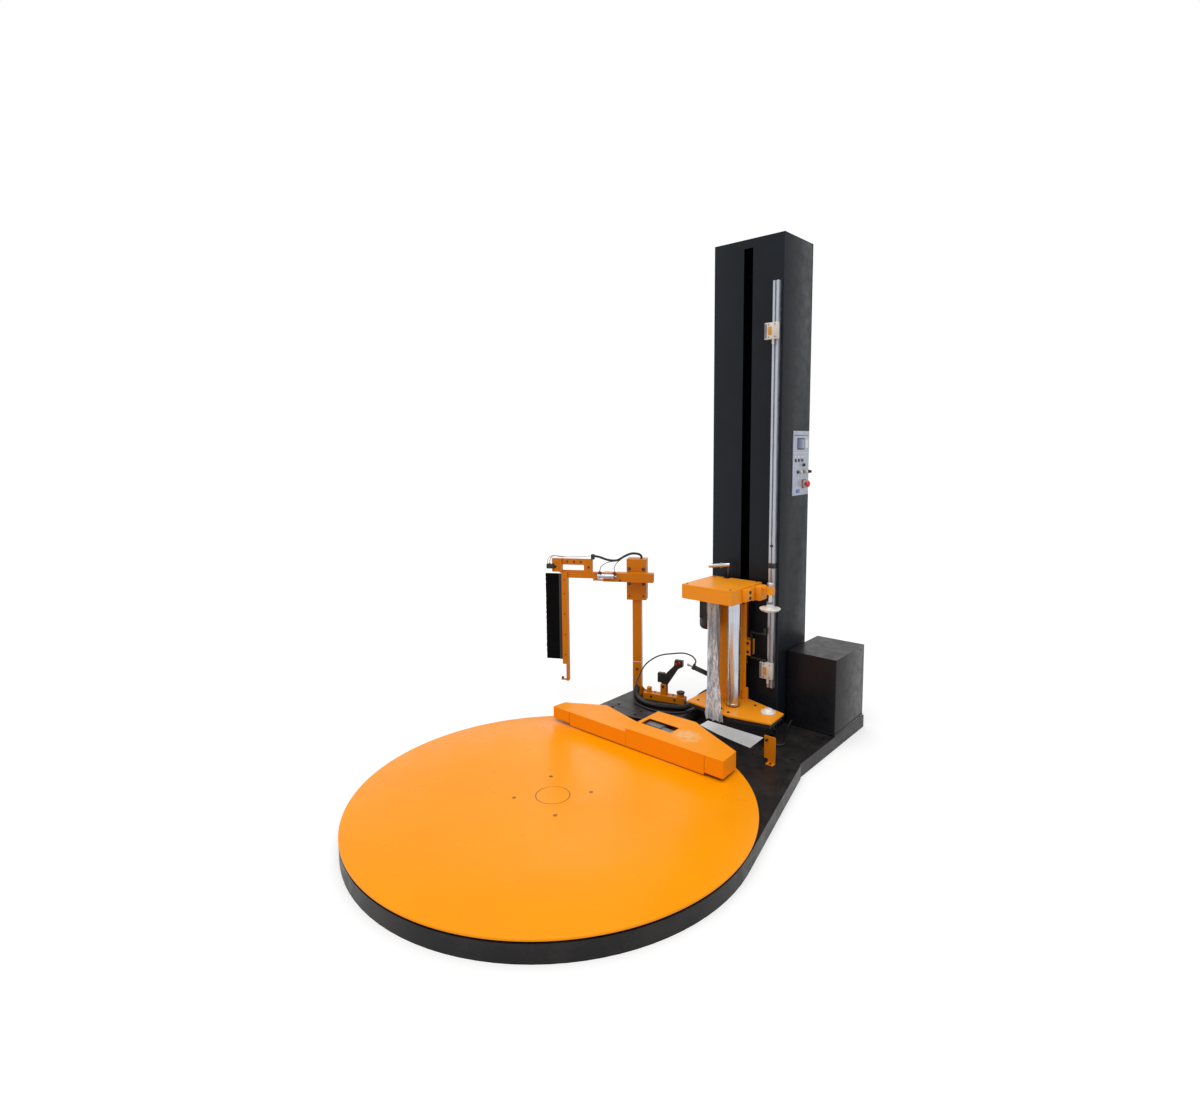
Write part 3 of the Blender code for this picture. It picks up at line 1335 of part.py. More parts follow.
def build_clamp():
    """The clamp's base bar, the lever that swings over it, and the air cylinder from the mast that drives it."""
    place = joint_frame("clamp_place", (*CLAMP_XY, 0.0), CLAMP_HEADING)
    foot_z = MAST_FOOT_Z
    base = box("clamp_base", (-0.120, -0.024, foot_z), (0.125, 0.024, 0.100), parent=place)
    stop = cylinder("clamp_stop", 0.020, (0.098, 0, 0.099), (0.098, 0, 0.122), parent=place, segments=20)
    knob = cylinder("clamp_knob", 0.014, (-0.090, 0, 0.099), (-0.090, 0, 0.130), parent=place, segments=16)
    weld(base, stop, knob)
    for side in (-1, 1):
        ear = box(
            "clamp_ear_%d" % side,
            (-0.016, min(side * 0.0123, side * 0.019), 0.099),
            (0.016, max(side * 0.0123, side * 0.019), CLAMP_PIVOT_Z + 0.014),
            parent=place,
        )
        weld(base, ear)
    pin = cylinder(
        "clamp_pin", 0.006, (0, -0.018, CLAMP_PIVOT_Z), (0, 0.018, CLAMP_PIVOT_Z), parent=place, segments=16
    )
    weld(base, pin)
    finish(base, "orange_paint")

    lever_frame = joint_frame("clamp_axis", (*CLAMP_XY, CLAMP_PIVOT_Z), CLAMP_HEADING)
    hub = cylinder("clamp_lever", 0.016, (0, -0.012, 0), (0, 0.012, 0), parent=lever_frame, segments=20)
    web = plate(
        "lever_web",
        [[(-0.012, 0.0), (0.012, -0.004), (0.085, 0.110), (0.112, 0.125), (0.112, 0.160), (0.066, 0.160), (0.062, 0.128), (-0.014, 0.046)]],
        0.024,
        parent=lever_frame,
        rotation=(math.pi / 2, 0, 0),
    )
    pad = box("lever_pad", (-0.034, -0.012, 0.020), (0.004, 0.012, 0.075), parent=lever_frame)
    weld(hub, web, pad)
    cut(
        hub,
        cylinder("lever_bore", 0.006 + RUNNING_GAP, (0, -0.03, 0), (0, 0.03, 0), parent=lever_frame, segments=16),
    )
    finish(hub, "black_paint")

    anchor = CYLINDER_ANCHOR
    rod_end = CYLINDER_ROD_END
    along = cylinder_way()
    barrel = cylinder("clamp_cylinder", 0.016, anchor - Vector((0.02, 0, 0)), rod_end - along * 0.030, segments=8)
    foot = box("cylinder_foot", (anchor.x - 0.006, 1.245, 0.205), (anchor.x, 1.295, 0.265))
    ear = box("cylinder_ear", (anchor.x - 0.030, 1.264, 0.225), (anchor.x - 0.004, 1.276, 0.245))
    rod = cylinder("cylinder_rod", 0.005, rod_end - along * 0.040, rod_end, segments=12)
    way, port_foot = cylinder_port()
    port = cylinder("cylinder_port", 0.0065, port_foot, port_foot + way * CYLINDER_PORT_LENGTH, segments=12)
    weld(barrel, foot, ear, rod, port)
    finish(barrel, "black_paint")


# ---------------------------------------------------------------- small fittings and cables
def build_sensor_bracket():
    """A folded plate that stands on the turntable base beside the disc, with a hole for a sensor."""
    x, y = 0.519, 0.862
    bracket = box("sensor_bracket", (x - 0.027, y - 0.002, MAST_FOOT_Z + 0.018), (x + 0.028, y + 0.002, 0.190))
    leg = box("bracket_leg", (x - 0.008, y - 0.002, MAST_FOOT_Z), (x + 0.028, y + 0.002, 0.100))
    tab = box("bracket_tab", (x - 0.008, y - 0.026, MAST_FOOT_Z), (x + 0.028, y + 0.002, MAST_FOOT_Z + 0.003))
    weld(bracket, leg, tab)
    cut(bracket, cylinder("bracket_hole", 0.007, (x - 0.014, y - 0.05, 0.170), (x - 0.014, y + 0.05, 0.170), segments=16))
    finish(bracket, "orange_paint")


def build_cables():
    """Cables and hoses that the machine holds from end to end."""
    deck = BASE_HEIGHT + SEAT_GAP
    hose_radius = 0.015
    lying = deck + hose_radius
    hose = cable(
        "air_hose",
        [
            (-0.46785, 1.13109, 0.108),
            (-0.45535, 1.10944, 0.108),
            (-0.438, 1.086, 0.096),
            (-0.404, 1.066, lying + 0.003),
            (-0.355, 1.047, lying),
            (-0.300, 1.042, lying),
            (-0.235, 1.056, lying),
            (-0.175, 1.085, lying),
            (-0.128, 1.122, lying),
            (-0.100, 1.160, lying + 0.018),
            (-0.085, 1.200, lying + 0.050),
            (-0.076, 1.250, lying + 0.062),
            (-0.068, 1.292, lying + 0.066),
            (-0.048, 1.310, lying + 0.066),
            (MAST_LEFT_X - SEAT_GAP, 1.310, lying + 0.066),
        ],
        hose_radius,
    )
    finish(hose, "rubber")

    wire_radius = 0.004
    port_way, port_foot = cylinder_port()
    port_end = port_foot + port_way * (CYLINDER_PORT_LENGTH + SEAT_GAP)
    on_deck = deck + wire_radius + 0.0004
    wire = cable(
        "clamp_wire",
        [
            port_end,
            port_end + port_way * 0.012,
            (-0.158, 1.240, 0.330),
            (-0.205, 1.228, 0.342),
            (-0.2714, 1.2090, 0.3316),
            (-0.3545, 1.1857, 0.307),
            (-0.4245, 1.160, 0.2515),
            (-0.438, 1.118, 0.195),
            (-0.437, 1.082, 0.150),
            (-0.432, 1.054, 0.105),
            (-0.410, 1.034, on_deck + 0.006),
            (-0.370, 1.016, on_deck),
            (-0.300, 1.000, on_deck),
            (-0.230, 1.004, on_deck),
            (-0.170, 1.028, on_deck),
            (-0.125, 1.062, on_deck),
            (-0.098, 1.105, on_deck),
            (-0.092, 1.150, on_deck),
            (-0.090, 1.196, on_deck),
            (-0.078, 1.232, on_deck),
            (-0.048, 1.250, on_deck + 0.004),
            (MAST_LEFT_X - SEAT_GAP, 1.250, on_deck + 0.004),
        ],
        wire_radius,
    )
    finish(wire, "black_plastic")

    lead_radius = 0.007
    lead_z = deck + lead_radius
    lead = cable(
        "drive_lead",
        [
            (-0.028, 0.750 + SEAT_GAP, 0.112),
            (-0.028, 0.764, 0.112),
            (-0.048, 0.790, 0.110),
            (-0.080, 0.832, 0.094),
            (-0.116, 0.860, lead_z + 0.004),
            (-0.165, 0.868, lead_z),
            (-0.230, 0.858, lead_z),
            (-0.300, 0.838, lead_z),
            (-0.360, 0.815, lead_z),
            (-0.410, 0.786, lead_z),
            (-0.444, 0.750, lead_z + 0.006),
            (-0.4575, 0.714, lead_z + 0.024),
            (-0.4475, 0.6833, 0.112),
            (-0.44016, 0.67076, 0.112),
        ],
        lead_radius,
    )
    finish(lead, "black_plastic")

    conduit_radius = 0.0055
    resting = deck + conduit_radius + 0.0006
    conduit = cable(
        "carriage_conduit",
        [
            (0.405, 1.315 - SEAT_GAP, 0.090),
            (0.405, 1.297, 0.090),
            (0.412, 1.256, resting + 0.006),
            (0.432, 1.200, resting),
            (0.455, 1.145, resting),
            (0.474, 1.100, resting),
            (0.482, 1.068, resting),
            (0.474, 1.044, resting),
            (0.454, 1.038, resting),
            (0.436, 1.054, resting),
            (0.420, 1.092, resting),
            (0.404, 1.136, resting),
            (0.388, 1.176, resting),
            (0.366, 1.196, resting + 0.006),
            (0.350, 1.212, 0.086),
            (0.350, MAST_FRONT_Y - SEAT_GAP, 0.086),
        ],
        conduit_radius,
    )
    finish(conduit, "black_plastic")


def build_wrapper():
    build_turntable_base()
    build_support_wheels()
    build_disc()
    build_mast_base()
    build_mast()
    build_lift()
    build_cabinet()
    build_control_panel()
    build_limit_rail()
    build_drive()
    carriage = joint_frame("carriage_lift_axis", (MAST_CENTRE_X, MAST_FRONT_Y, 0.0))
    build_carriage(carriage)
    build_arm()
    build_clamp()
    build_sensor_bracket()
    build_cables()


build_wrapper()
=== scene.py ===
import json
import math
import random

import bmesh
import bpy
from mathutils import Matrix, Vector

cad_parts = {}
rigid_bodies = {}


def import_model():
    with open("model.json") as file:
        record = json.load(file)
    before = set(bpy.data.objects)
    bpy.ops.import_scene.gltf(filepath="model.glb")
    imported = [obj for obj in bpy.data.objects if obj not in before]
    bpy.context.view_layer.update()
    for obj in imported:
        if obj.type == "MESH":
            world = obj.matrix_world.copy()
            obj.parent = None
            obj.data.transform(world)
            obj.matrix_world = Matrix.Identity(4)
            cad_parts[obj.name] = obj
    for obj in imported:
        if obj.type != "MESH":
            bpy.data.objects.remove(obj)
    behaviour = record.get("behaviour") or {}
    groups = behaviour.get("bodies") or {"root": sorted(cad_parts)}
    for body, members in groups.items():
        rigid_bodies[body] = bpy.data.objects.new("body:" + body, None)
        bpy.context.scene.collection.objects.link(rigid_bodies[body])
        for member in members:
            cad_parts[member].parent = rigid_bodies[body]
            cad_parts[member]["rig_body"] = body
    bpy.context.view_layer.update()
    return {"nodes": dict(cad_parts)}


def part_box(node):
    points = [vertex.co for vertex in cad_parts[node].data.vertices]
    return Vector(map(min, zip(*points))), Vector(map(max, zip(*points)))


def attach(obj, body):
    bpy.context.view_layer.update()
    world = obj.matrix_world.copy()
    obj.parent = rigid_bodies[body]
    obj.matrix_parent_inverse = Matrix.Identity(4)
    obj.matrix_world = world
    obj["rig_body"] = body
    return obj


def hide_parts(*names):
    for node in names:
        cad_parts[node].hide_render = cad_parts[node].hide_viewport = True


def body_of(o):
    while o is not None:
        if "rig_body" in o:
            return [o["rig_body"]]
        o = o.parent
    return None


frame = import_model()
NODES = frame["nodes"]
random.seed(11)

# ---------------------------------------------------------------- turntable base
# The low ring and its tapered deck: folded steel sheet, welded to five arms and a hub.
# It is sprayed gloss black and bolted to the mast base along one straight joint.
MM = 0.001
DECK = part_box("mast_base")[1].z
BLACK = (0.012, 0.011, 0.0115)
FLOOR_DUST = (0.115, 0.094, 0.08)


def srgb(*parts):
    """A colour's red, green and blue, from 0 to 255, as the linear values that a shader takes."""
    linear = []
    for part in parts:
        share = part / 255
        linear.append(((share + 0.055) / 1.055) ** 2.4 if part > 10 else share / 12.92)
    return tuple(linear)


def toned(colour, other, share):
    """A colour moved a share of the way to another."""
    return tuple(a * (1 - share) + b * share for a, b in zip(colour, other))


class Finish:
    """A procedural finish. Its patterns lie on the piece's own coordinates, in metres."""

    def __init__(self, name, slot, **sockets):
        self.slot = slot
        self.material = bpy.data.materials.new(name)
        self.material.use_nodes = True
        self.tree = self.material.node_tree
        self.shader = self.tree.nodes["Principled BSDF"]
        self.place = self.tree.nodes.new("ShaderNodeTexCoord").outputs["Object"]
        for socket, value in sockets.items():
            self.shader.inputs[socket.replace("_", " ")].default_value = value

    def made(self, kind, **settings):
        node = self.tree.nodes.new(kind)
        for name, value in settings.items():
            if name in node.inputs:
                node.inputs[name].default_value = value
            else:
                setattr(node, name, value)
        return node

    def noise(self, scale, detail=4.0, rough=0.55, stretch=(1, 1, 1)):
        mapping = self.made("ShaderNodeMapping", Scale=stretch)
        self.tree.links.new(self.place, mapping.inputs["Vector"])
        texture = self.made("ShaderNodeTexNoise", Scale=scale, Detail=detail, Roughness=rough)
        self.tree.links.new(mapping.outputs["Vector"], texture.inputs["Vector"])
        return texture.outputs["Fac"]

    def ramp(self, value, low, high, start=0.3, end=0.7):
        node = self.made("ShaderNodeValToRGB")
        for element, place, colour in zip(node.color_ramp.elements, (start, end), (low, high)):
            element.position = place
            element.color = (*colour, 1.0)
        self.tree.links.new(value, node.inputs["Fac"])
        return node.outputs["Color"]

    def span(self, value, low, high, start=0.3, end=0.7):
        limits = {"From Min": start, "From Max": end, "To Min": low, "To Max": high}
        node = self.made("ShaderNodeMapRange", **limits)
        self.tree.links.new(value, node.inputs["Value"])
        return node.outputs["Result"]

    def mixed(self, amount, first, second):
        node = self.made("ShaderNodeMix", data_type="RGBA")
        for value, socket in ((amount, 0), (first, 6), (second, 7)):
            if isinstance(value, bpy.types.NodeSocket):
                self.tree.links.new(value, node.inputs[socket])
            else:
                node.inputs[socket].default_value = (*value, 1.0)
        return node.outputs[2]

    def feed(self, socket, output):
        self.tree.links.new(output, self.shader.inputs[socket])

    def bumps(self, *layers):
        """Each layer is (height, strength, depth in metres)."""
        before = None
        for height, strength, depth in layers:
            bump = self.made("ShaderNodeBump", Strength=strength, Distance=depth)
            self.tree.links.new(height, bump.inputs["Height"])
            if before is not None:
                self.tree.links.new(before, bump.inputs["Normal"])
            before = bump.outputs["Normal"]
        self.feed("Normal", before)


def black_enamel(name, slot, colour, dust_colour, roughness, dust):
    """Gloss black paint with dust that has settled in patches and specks."""
    finish = Finish(name, slot, Coat_Weight=0.04, Coat_Roughness=0.2, Specular_IOR_Level=0.16)
    patches = finish.span(finish.noise(5.0, 9.0, 0.68), 0.0, dust, 0.46, 0.74)
    tone = finish.mixed(patches, colour, dust_colour)
    specks = finish.span(finish.noise(170.0, 4.0, 0.8), 0.0, dust * 0.8, 0.62, 0.76)
    finish.feed("Base Color", finish.mixed(specks, tone, dust_colour))
    finish.feed("Roughness", finish.span(finish.noise(20.0, 6.0, 0.7), roughness - 0.07, roughness + 0.17))
    finish.bumps((finish.noise(300.0, 2.0), 0.08, 0.4 * MM), (finish.noise(7.0, 3.0), 0.12, 1.2 * MM))
    return finish


base_paint = black_enamel("base_enamel", "black_paint", BLACK, FLOOR_DUST, 0.34, 0.26)


SMOOTH_BELOW, BEVEL_ABOVE = math.radians(34), math.radians(40)


def piece(name, bm, body, finish, stands_for=(), bevel=0.0):
    """Makes one object of a finished mesh, on its body, with its finish, and rounds its sharp edges."""
    bmesh.ops.recalc_face_normals(bm, faces=bm.faces)
    for face in bm.faces:
        face.smooth = True
    for edge in bm.edges:
        if len(edge.link_faces) == 2:
            edge.smooth = edge.calc_face_angle(0.0) < SMOOTH_BELOW
    mesh = bpy.data.meshes.new(name)
    bm.to_mesh(mesh)
    bm.free()
    made = bpy.data.objects.new(name, mesh)
    bpy.context.scene.collection.objects.link(made)
    if bevel > 0.0:
        rounding = made.modifiers.new("rounding", "BEVEL")
        rounding.width = bevel
        rounding.segments = 2
        rounding.limit_method = "ANGLE"
        rounding.angle_limit = BEVEL_ABOVE
        rounding.harden_normals = True
    mesh.materials.append(finish.material)
    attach(made, body)
    if stands_for:
        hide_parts(*stands_for)
    return made


def rounded_copy(node, finish, bevel):
    """A node's own shape, merged, with the rolled or broken edges that the real piece has."""
    bm = bmesh.new()
    bm.from_mesh(NODES[node].data)
    bmesh.ops.remove_doubles(bm, verts=bm.verts, dist=0.02 * MM)
    bmesh.ops.dissolve_limit(bm, angle_limit=0.01, verts=bm.verts, edges=bm.edges)
    return piece(node + "_shell", bm, body_of(NODES[node])[0], finish, [node], bevel)


rounded_copy("turntable_base", base_paint, 0.8 * MM)


def block(bm, low, high, place=None, round_off=0.0):
    """A block between two corners, its edges rounded."""
    low, high = Vector(low), Vector(high)
    corners = bmesh.ops.create_cube(bm, size=1.0)["verts"]
    bmesh.ops.scale(bm, vec=high - low, verts=corners)
    bmesh.ops.translate(bm, vec=(low + high) / 2, verts=corners)
    if round_off > 0.0:
        edges = list({edge for corner in corners for edge in corner.link_edges})
        rounded = bmesh.ops.bevel(
            bm, geom=edges, offset=round_off, segments=2, profile=0.5, affect="EDGES", material=-1
        )
        kept = {corner for corner in corners if corner.is_valid}
        corners = list(kept | {corner for face in rounded["faces"] for corner in face.verts})
    if place is not None:
        bmesh.ops.transform(bm, matrix=place, verts=corners)


def along(direction):
    """The turn that brings Z onto a direction."""
    return Vector((0, 0, 1)).rotation_difference(Vector(direction).normalized()).to_matrix().to_4x4()


def turned(bm, profile, foot=(0, 0, 0), axis=(0, 0, 1), place=None, steps=40, ring=False):
    """Spins a profile of (radius, height) points about an axis, as on a lathe."""
    line = [bm.verts.new((radius, 0, height)) for radius, height in profile]
    edges = [bm.edges.new(pair) for pair in zip(line, line[1:])]
    if ring:
        edges.append(bm.edges.new((line[-1], line[0])))
    spun = bmesh.ops.spin(
        bm, geom=line + edges, cent=(0, 0, 0), axis=(0, 0, 1), dvec=(0, 0, 0),
        angle=2 * math.pi, steps=steps, use_merge=True,
    )
    corners = {part for part in spun["geom_last"] if isinstance(part, bmesh.types.BMVert)} | set(line)
    reached = list(corners)
    # The spin names only its last ring, so the rings between are found along their edges.
    while reached:
        for edge in reached.pop().link_edges:
            for corner in edge.verts:
                if corner not in corners:
                    corners.add(corner)
                    reached.append(corner)
    corners = [corner for corner in corners if corner.is_valid]
    bmesh.ops.remove_doubles(bm, verts=corners, dist=0.001 * MM)
    corners = [corner for corner in corners if corner.is_valid]
    turn = Matrix.Translation(foot) @ along(axis)
    bmesh.ops.transform(bm, matrix=turn if place is None else place @ turn, verts=corners)


def hex_bolt(bm, foot, axis=(0, 0, 1), radius=0.006, place=None):
    """A hexagon head with a chamfered crown, on a washer."""
    washer, top = radius * 0.22, radius * 0.9
    rim, corner, crown = radius * 1.45, radius * 1.12, radius * 0.9
    turned(bm, [(0, 0), (rim, 0), (rim, washer), (0, washer)], foot, axis, place, 18)
    head = [(0, washer * 0.8), (corner, washer * 0.8), (corner, top * 0.85), (crown, top), (0, top)]
    turned(bm, head, foot, axis, place, 6)


fastener_steel = Finish("blackened_fasteners", "bare_steel", Metallic=1.0)
worn = fastener_steel.noise(60.0, 5.0)
fastener_steel.feed("Base Color", fastener_steel.ramp(worn, srgb(44, 42, 41), srgb(92, 88, 84)))
fastener_steel.feed("Roughness", fastener_steel.span(worn, 0.30, 0.48))
fastener_steel.bumps((fastener_steel.noise(420.0), 0.12, 0.2 * MM))

JOINT_BOLTS = (-0.46, -0.30, -0.16, 0.42, 0.58)
RING_BOLT_ROW, MAST_BOLT_ROW = 0.905, 0.958
bm = bmesh.new()
for x in JOINT_BOLTS:
    hex_bolt(bm, (x, RING_BOLT_ROW, DECK))
piece("ring_deck_bolts", bm, "machine", fastener_steel)


def bead(bm, start, end, foot=DECK, place=None):
    """A line of weld or a folded seam that stands just proud of the sheet at its foot."""
    block(bm, (*start, foot - 0.4 * MM), (*end, foot + 0.6 * MM), place, 0.2 * MM)


bm = bmesh.new()
taper_start, taper_end = Vector((0.728, 0.400, DECK)), Vector((0.610, 0.918, DECK))
taper = taper_end - taper_start
taper_place = Matrix.Translation(taper_start) @ Matrix.Rotation(math.atan2(taper.y, taper.x), 4, "Z")
for offset in (0.0, 0.014):
    bead(bm, (0.02, offset), (taper.length, offset + 1.8 * MM), 0.0, taper_place)
bead(bm, (-0.525, 0.9285), (0.622, 0.9310))
piece("ring_deck_beads", bm, "machine", base_paint)

# ---------------------------------------------------------------- support wheels
# Five small wheels that carry the disc's rim, moulded in black nylon with steel pins.
# Each turns on a pin that is welded across the base.


def moulded(name, slot, colour, roughness=0.42, grain=0.15, pitch=900.0, **sockets):
    """Moulded plastic or rubber: a fine grain and a slightly uneven tone."""
    finish = Finish(name, slot, **sockets)
    finish.feed("Base Color", finish.ramp(finish.noise(24.0, 5.0), toned(colour, (0, 0, 0), 0.25), colour))
    finish.feed("Roughness", finish.span(finish.noise(40.0), roughness - 0.07, roughness + 0.10))
    finish.bumps((finish.noise(pitch, 2.0), grain, 0.15 * MM))
    return finish


black_nylon = moulded("black_nylon", "black_plastic", srgb(24, 24, 26))
for number in range(1, 6):
    rounded_copy("support_wheel_%d" % number, black_nylon, 0.8 * MM)

# ---------------------------------------------------------------- turntable disc
# A round 8 mm steel plate, gloss orange, on a spindle in the base's hub.
# A round cover lies flush in its middle, and four countersunk screws hold the hub under it.
DISC_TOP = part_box("turntable_disc")[1].z
DISC_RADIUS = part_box("turntable_disc")[1].x
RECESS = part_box("centre_cover")[1].x
BORE, HUB, FLANGE = 0.0254, 0.060, 0.190
HUB_FOOT, FLANGE_FOOT = 0.0523, 0.064
DISC_SCREW_CIRCLE, FIRST_DISC_SCREW = 0.158, 49


def orange_enamel(name, colour, roughness, coat, scuffs, peel):
    """Orange spray enamel: slow changes of tone, orange peel, and grey scuffs where it is handled."""
    finish = Finish(name, "orange_paint", Coat_Weight=coat, Coat_Roughness=0.14, Specular_IOR_Level=0.12)
    tone = finish.ramp(finish.noise(2.3, 5.0), toned(colour, (0.55, 0.17, 0.0), 0.14), colour)
    scuffed = finish.span(finish.noise(26.0, 9.0, 0.7, (1, 1, 0.4)), 0.0, scuffs, 0.60, 0.80)
    finish.feed("Base Color", finish.mixed(scuffed, tone, (0.40, 0.22, 0.08)))
    finish.feed("Roughness", finish.span(finish.noise(12.0, 6.0, 0.6), roughness - 0.05, roughness + 0.12))
    finish.bumps((finish.noise(340.0, 2.0), peel, 0.4 * MM), (finish.noise(16.0, 3.0), 0.08, 0.8 * MM))
    return finish


disc_paint = orange_enamel("disc_enamel", srgb(255, 156, 0), 0.30, 0.06, 0.10, 0.05)
bm = bmesh.new()
under = DISC_TOP - 8 * MM
recess_side, recess_floor = RECESS + 0.3 * MM, DISC_TOP - 4.3 * MM
turned(
    bm,
    [
        (BORE, HUB_FOOT), (HUB, HUB_FOOT), (HUB, FLANGE_FOOT), (FLANGE, FLANGE_FOOT), (FLANGE, under),
        (DISC_RADIUS - 1 * MM, under), (DISC_RADIUS, under + 1 * MM), (DISC_RADIUS, DISC_TOP - 1 * MM),
        (DISC_RADIUS - 0.3 * MM, DISC_TOP - 0.3 * MM), (DISC_RADIUS - 1 * MM, DISC_TOP),
        (0.5, DISC_TOP), (0.2, DISC_TOP), (RECESS + 3.0 * MM, DISC_TOP), (recess_side, DISC_TOP - 2.4 * MM),
        (recess_side, recess_floor), (BORE, recess_floor),
    ],
    steps=240, ring=True,
)
piece("disc_plate", bm, "turntable", disc_paint, ["turntable_disc"])

bm = bmesh.new()
cover_foot = DISC_TOP - 4 * MM
turned(
    bm,
    [
        (0, cover_foot), (RECESS, cover_foot), (RECESS, DISC_TOP - 2.4 * MM), (RECESS - 2.6 * MM, DISC_TOP),
        (0, DISC_TOP),
    ],
    steps=96,
)
piece("disc_centre", bm, "turntable", disc_paint, ["centre_cover"])
# A black ring down in the groove round the centre cover is painted shade in the groove.
bm = bmesh.new()
groove_shade_top = DISC_TOP - 1.2 * MM
groove_shade_foot = DISC_TOP - 2.6 * MM
groove = [(RECESS - 1.6 * MM, groove_shade_top), (RECESS + 1.9 * MM, groove_shade_top), (RECESS + 0.2 * MM, groove_shade_foot)]
turned(bm, groove, steps=96, ring=True)
piece("groove_painted_shade", bm, "turntable", fastener_steel)

bm = bmesh.new()
for quarter in range(4):
    angle = math.radians(FIRST_DISC_SCREW + 90 * quarter)
    foot = (DISC_SCREW_CIRCLE * math.cos(angle), DISC_SCREW_CIRCLE * math.sin(angle), DISC_TOP - 2 * MM)
    turned(
        bm,
        [
            (0, 0.8 * MM), (2.8 * MM, 0.8 * MM), (3.0 * MM, 2.3 * MM), (6.6 * MM, 2.7 * MM),
            (7.8 * MM, 2.1 * MM),
            (7.8 * MM, 0), (0, 0),
        ],
        foot, steps=24,
    )
piece("disc_screws", bm, "turntable", fastener_steel)

# ---------------------------------------------------------------- mast base
# The welded black frame under the mast, with a wing for the arm and an open well under the carriage.
# Its deck is folded sheet with rolled edges, bolted down to the floor.
rounded_copy("mast_base", base_paint, 1.4 * MM)
FLOOR_BOLTS = (
    (-0.035, 1.600), (0.120, 1.600), (0.300, 1.600), (-0.500, 1.205), (-0.140, 1.205), (0.600, 1.270),
)
bm = bmesh.new()
for x in JOINT_BOLTS:
    hex_bolt(bm, (x, MAST_BOLT_ROW, DECK))
for x, y in FLOOR_BOLTS:
    hex_bolt(bm, (x, y, DECK), radius=0.0075)
piece("mast_deck_bolts", bm, "machine", fastener_steel)
bm = bmesh.new()
bead(bm, (0.3920, 0.945), (0.3936, 1.300))
bead(bm, (0.5650, 0.960), (0.5670, 1.310))
piece("mast_deck_beads", bm, "machine", base_paint)

# ---------------------------------------------------------------- mast
# The tall slotted column: folded steel sheet in blue-black enamel, with a screwed rear cover and cap.
# Its front corners are rolled, and its foot is bolted to the mast base. Pale strips along the two front
# corners are painted highlight.
MAST_LOW, MAST_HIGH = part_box("mast_column")
MAST_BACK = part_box("mast_rear_cover")[1].y
mast_paint = black_enamel("mast_enamel", "mast_paint", srgb(17, 22, 29), srgb(58, 68, 82), 0.36, 0.07)
# The corner paint is pale grey-blue: painted highlight along the mast's rolled front corners.
corner_highlight_paint = black_enamel(
    "mast_corner_painted_highlight", "mast_paint", srgb(84, 92, 104), srgb(120, 128, 140), 0.30, 0.10
)
REAR_SCREW_HEIGHTS = (0.20, 0.65, 1.10, 1.55, 2.00, 2.40)
rounded_copy("mast_column", mast_paint, 2.2 * MM)
rounded_copy("mast_rear_cover", mast_paint, 0.8 * MM)
rounded_copy("mast_top_cap", mast_paint, 1.2 * MM)


def cap_screw(bm, foot, axis=(0, 0, 1), radius=0.005, height=0.003, place=None):
    """A low round head with a sunk round socket."""
    socket, socket_floor = radius * 0.5, height * 0.3
    turned(
        bm,
        [
            (0, 0), (radius, 0), (radius, height * 0.8), (radius * 0.86, height), (socket, height),
            (socket, socket_floor), (0, socket_floor),
        ],
        foot, axis, place, 16,
    )


bm = bmesh.new()
for z in REAR_SCREW_HEIGHTS:
    for x in (MAST_LOW.x + 0.012, MAST_HIGH.x - 0.012):
        cap_screw(bm, (x, MAST_BACK, z), (0, 1, 0))
for x in (MAST_LOW.x + 0.030, MAST_HIGH.x - 0.030):
    for y in (MAST_LOW.y + 0.040, MAST_BACK - 0.040):
        cap_screw(bm, (x, y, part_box("mast_top_cap")[1].z))
piece("mast_screws", bm, "machine", fastener_steel)
# Thin pale strips on the two front corners: painted highlight where the rolled edges catch the light.
bm = bmesh.new()
for x, side in ((MAST_LOW.x, 1), (MAST_HIGH.x, -1)):
    turn = Matrix.Rotation(math.radians(45 * side), 4, "Z")
    corner = Matrix.Translation((x + side * 1.1 * MM, MAST_LOW.y + 1.1 * MM, 0)) @ turn
    block(bm, (-1.3 * MM, -0.15 * MM, MAST_LOW.z), (1.3 * MM, 0.2 * MM, MAST_HIGH.z), corner)
piece("mast_corner_highlights", bm, "machine", corner_highlight_paint)

# ---------------------------------------------------------------- lift
# A roller chain on two sprockets inside the mast, driven by a geared motor in its foot.
# The chain is oiled steel, and the motor is cast and painted grey.
chain_steel = Finish("oiled_chain", "bare_steel", Metallic=1.0)
links = chain_steel.noise(120.0, 3.0, 0.6)
chain_steel.feed("Base Color", chain_steel.ramp(links, srgb(40, 38, 36), srgb(104, 98, 90)))
chain_steel.feed("Roughness", chain_steel.span(links, 0.26, 0.44))
chain_steel.bumps((links, 0.3, 0.6 * MM))
grey_casting = moulded("grey_casting", "inverter_grey", srgb(128, 130, 134), 0.46, 0.25, 260.0)
rounded_copy("lift_chain", chain_steel, 0.6 * MM)
rounded_copy("lift_sprocket_top", chain_steel, 0.5 * MM)
rounded_copy("lift_sprocket_bottom", chain_steel, 0.5 * MM)
rounded_copy("lift_gearmotor", grey_casting, 1.2 * MM)

# ---------------------------------------------------------------- limit rail
# An anodised aluminium section with a groove down its face, screwed to the mast's front.
# Two black plastic clips sit on it, between the limit switches.


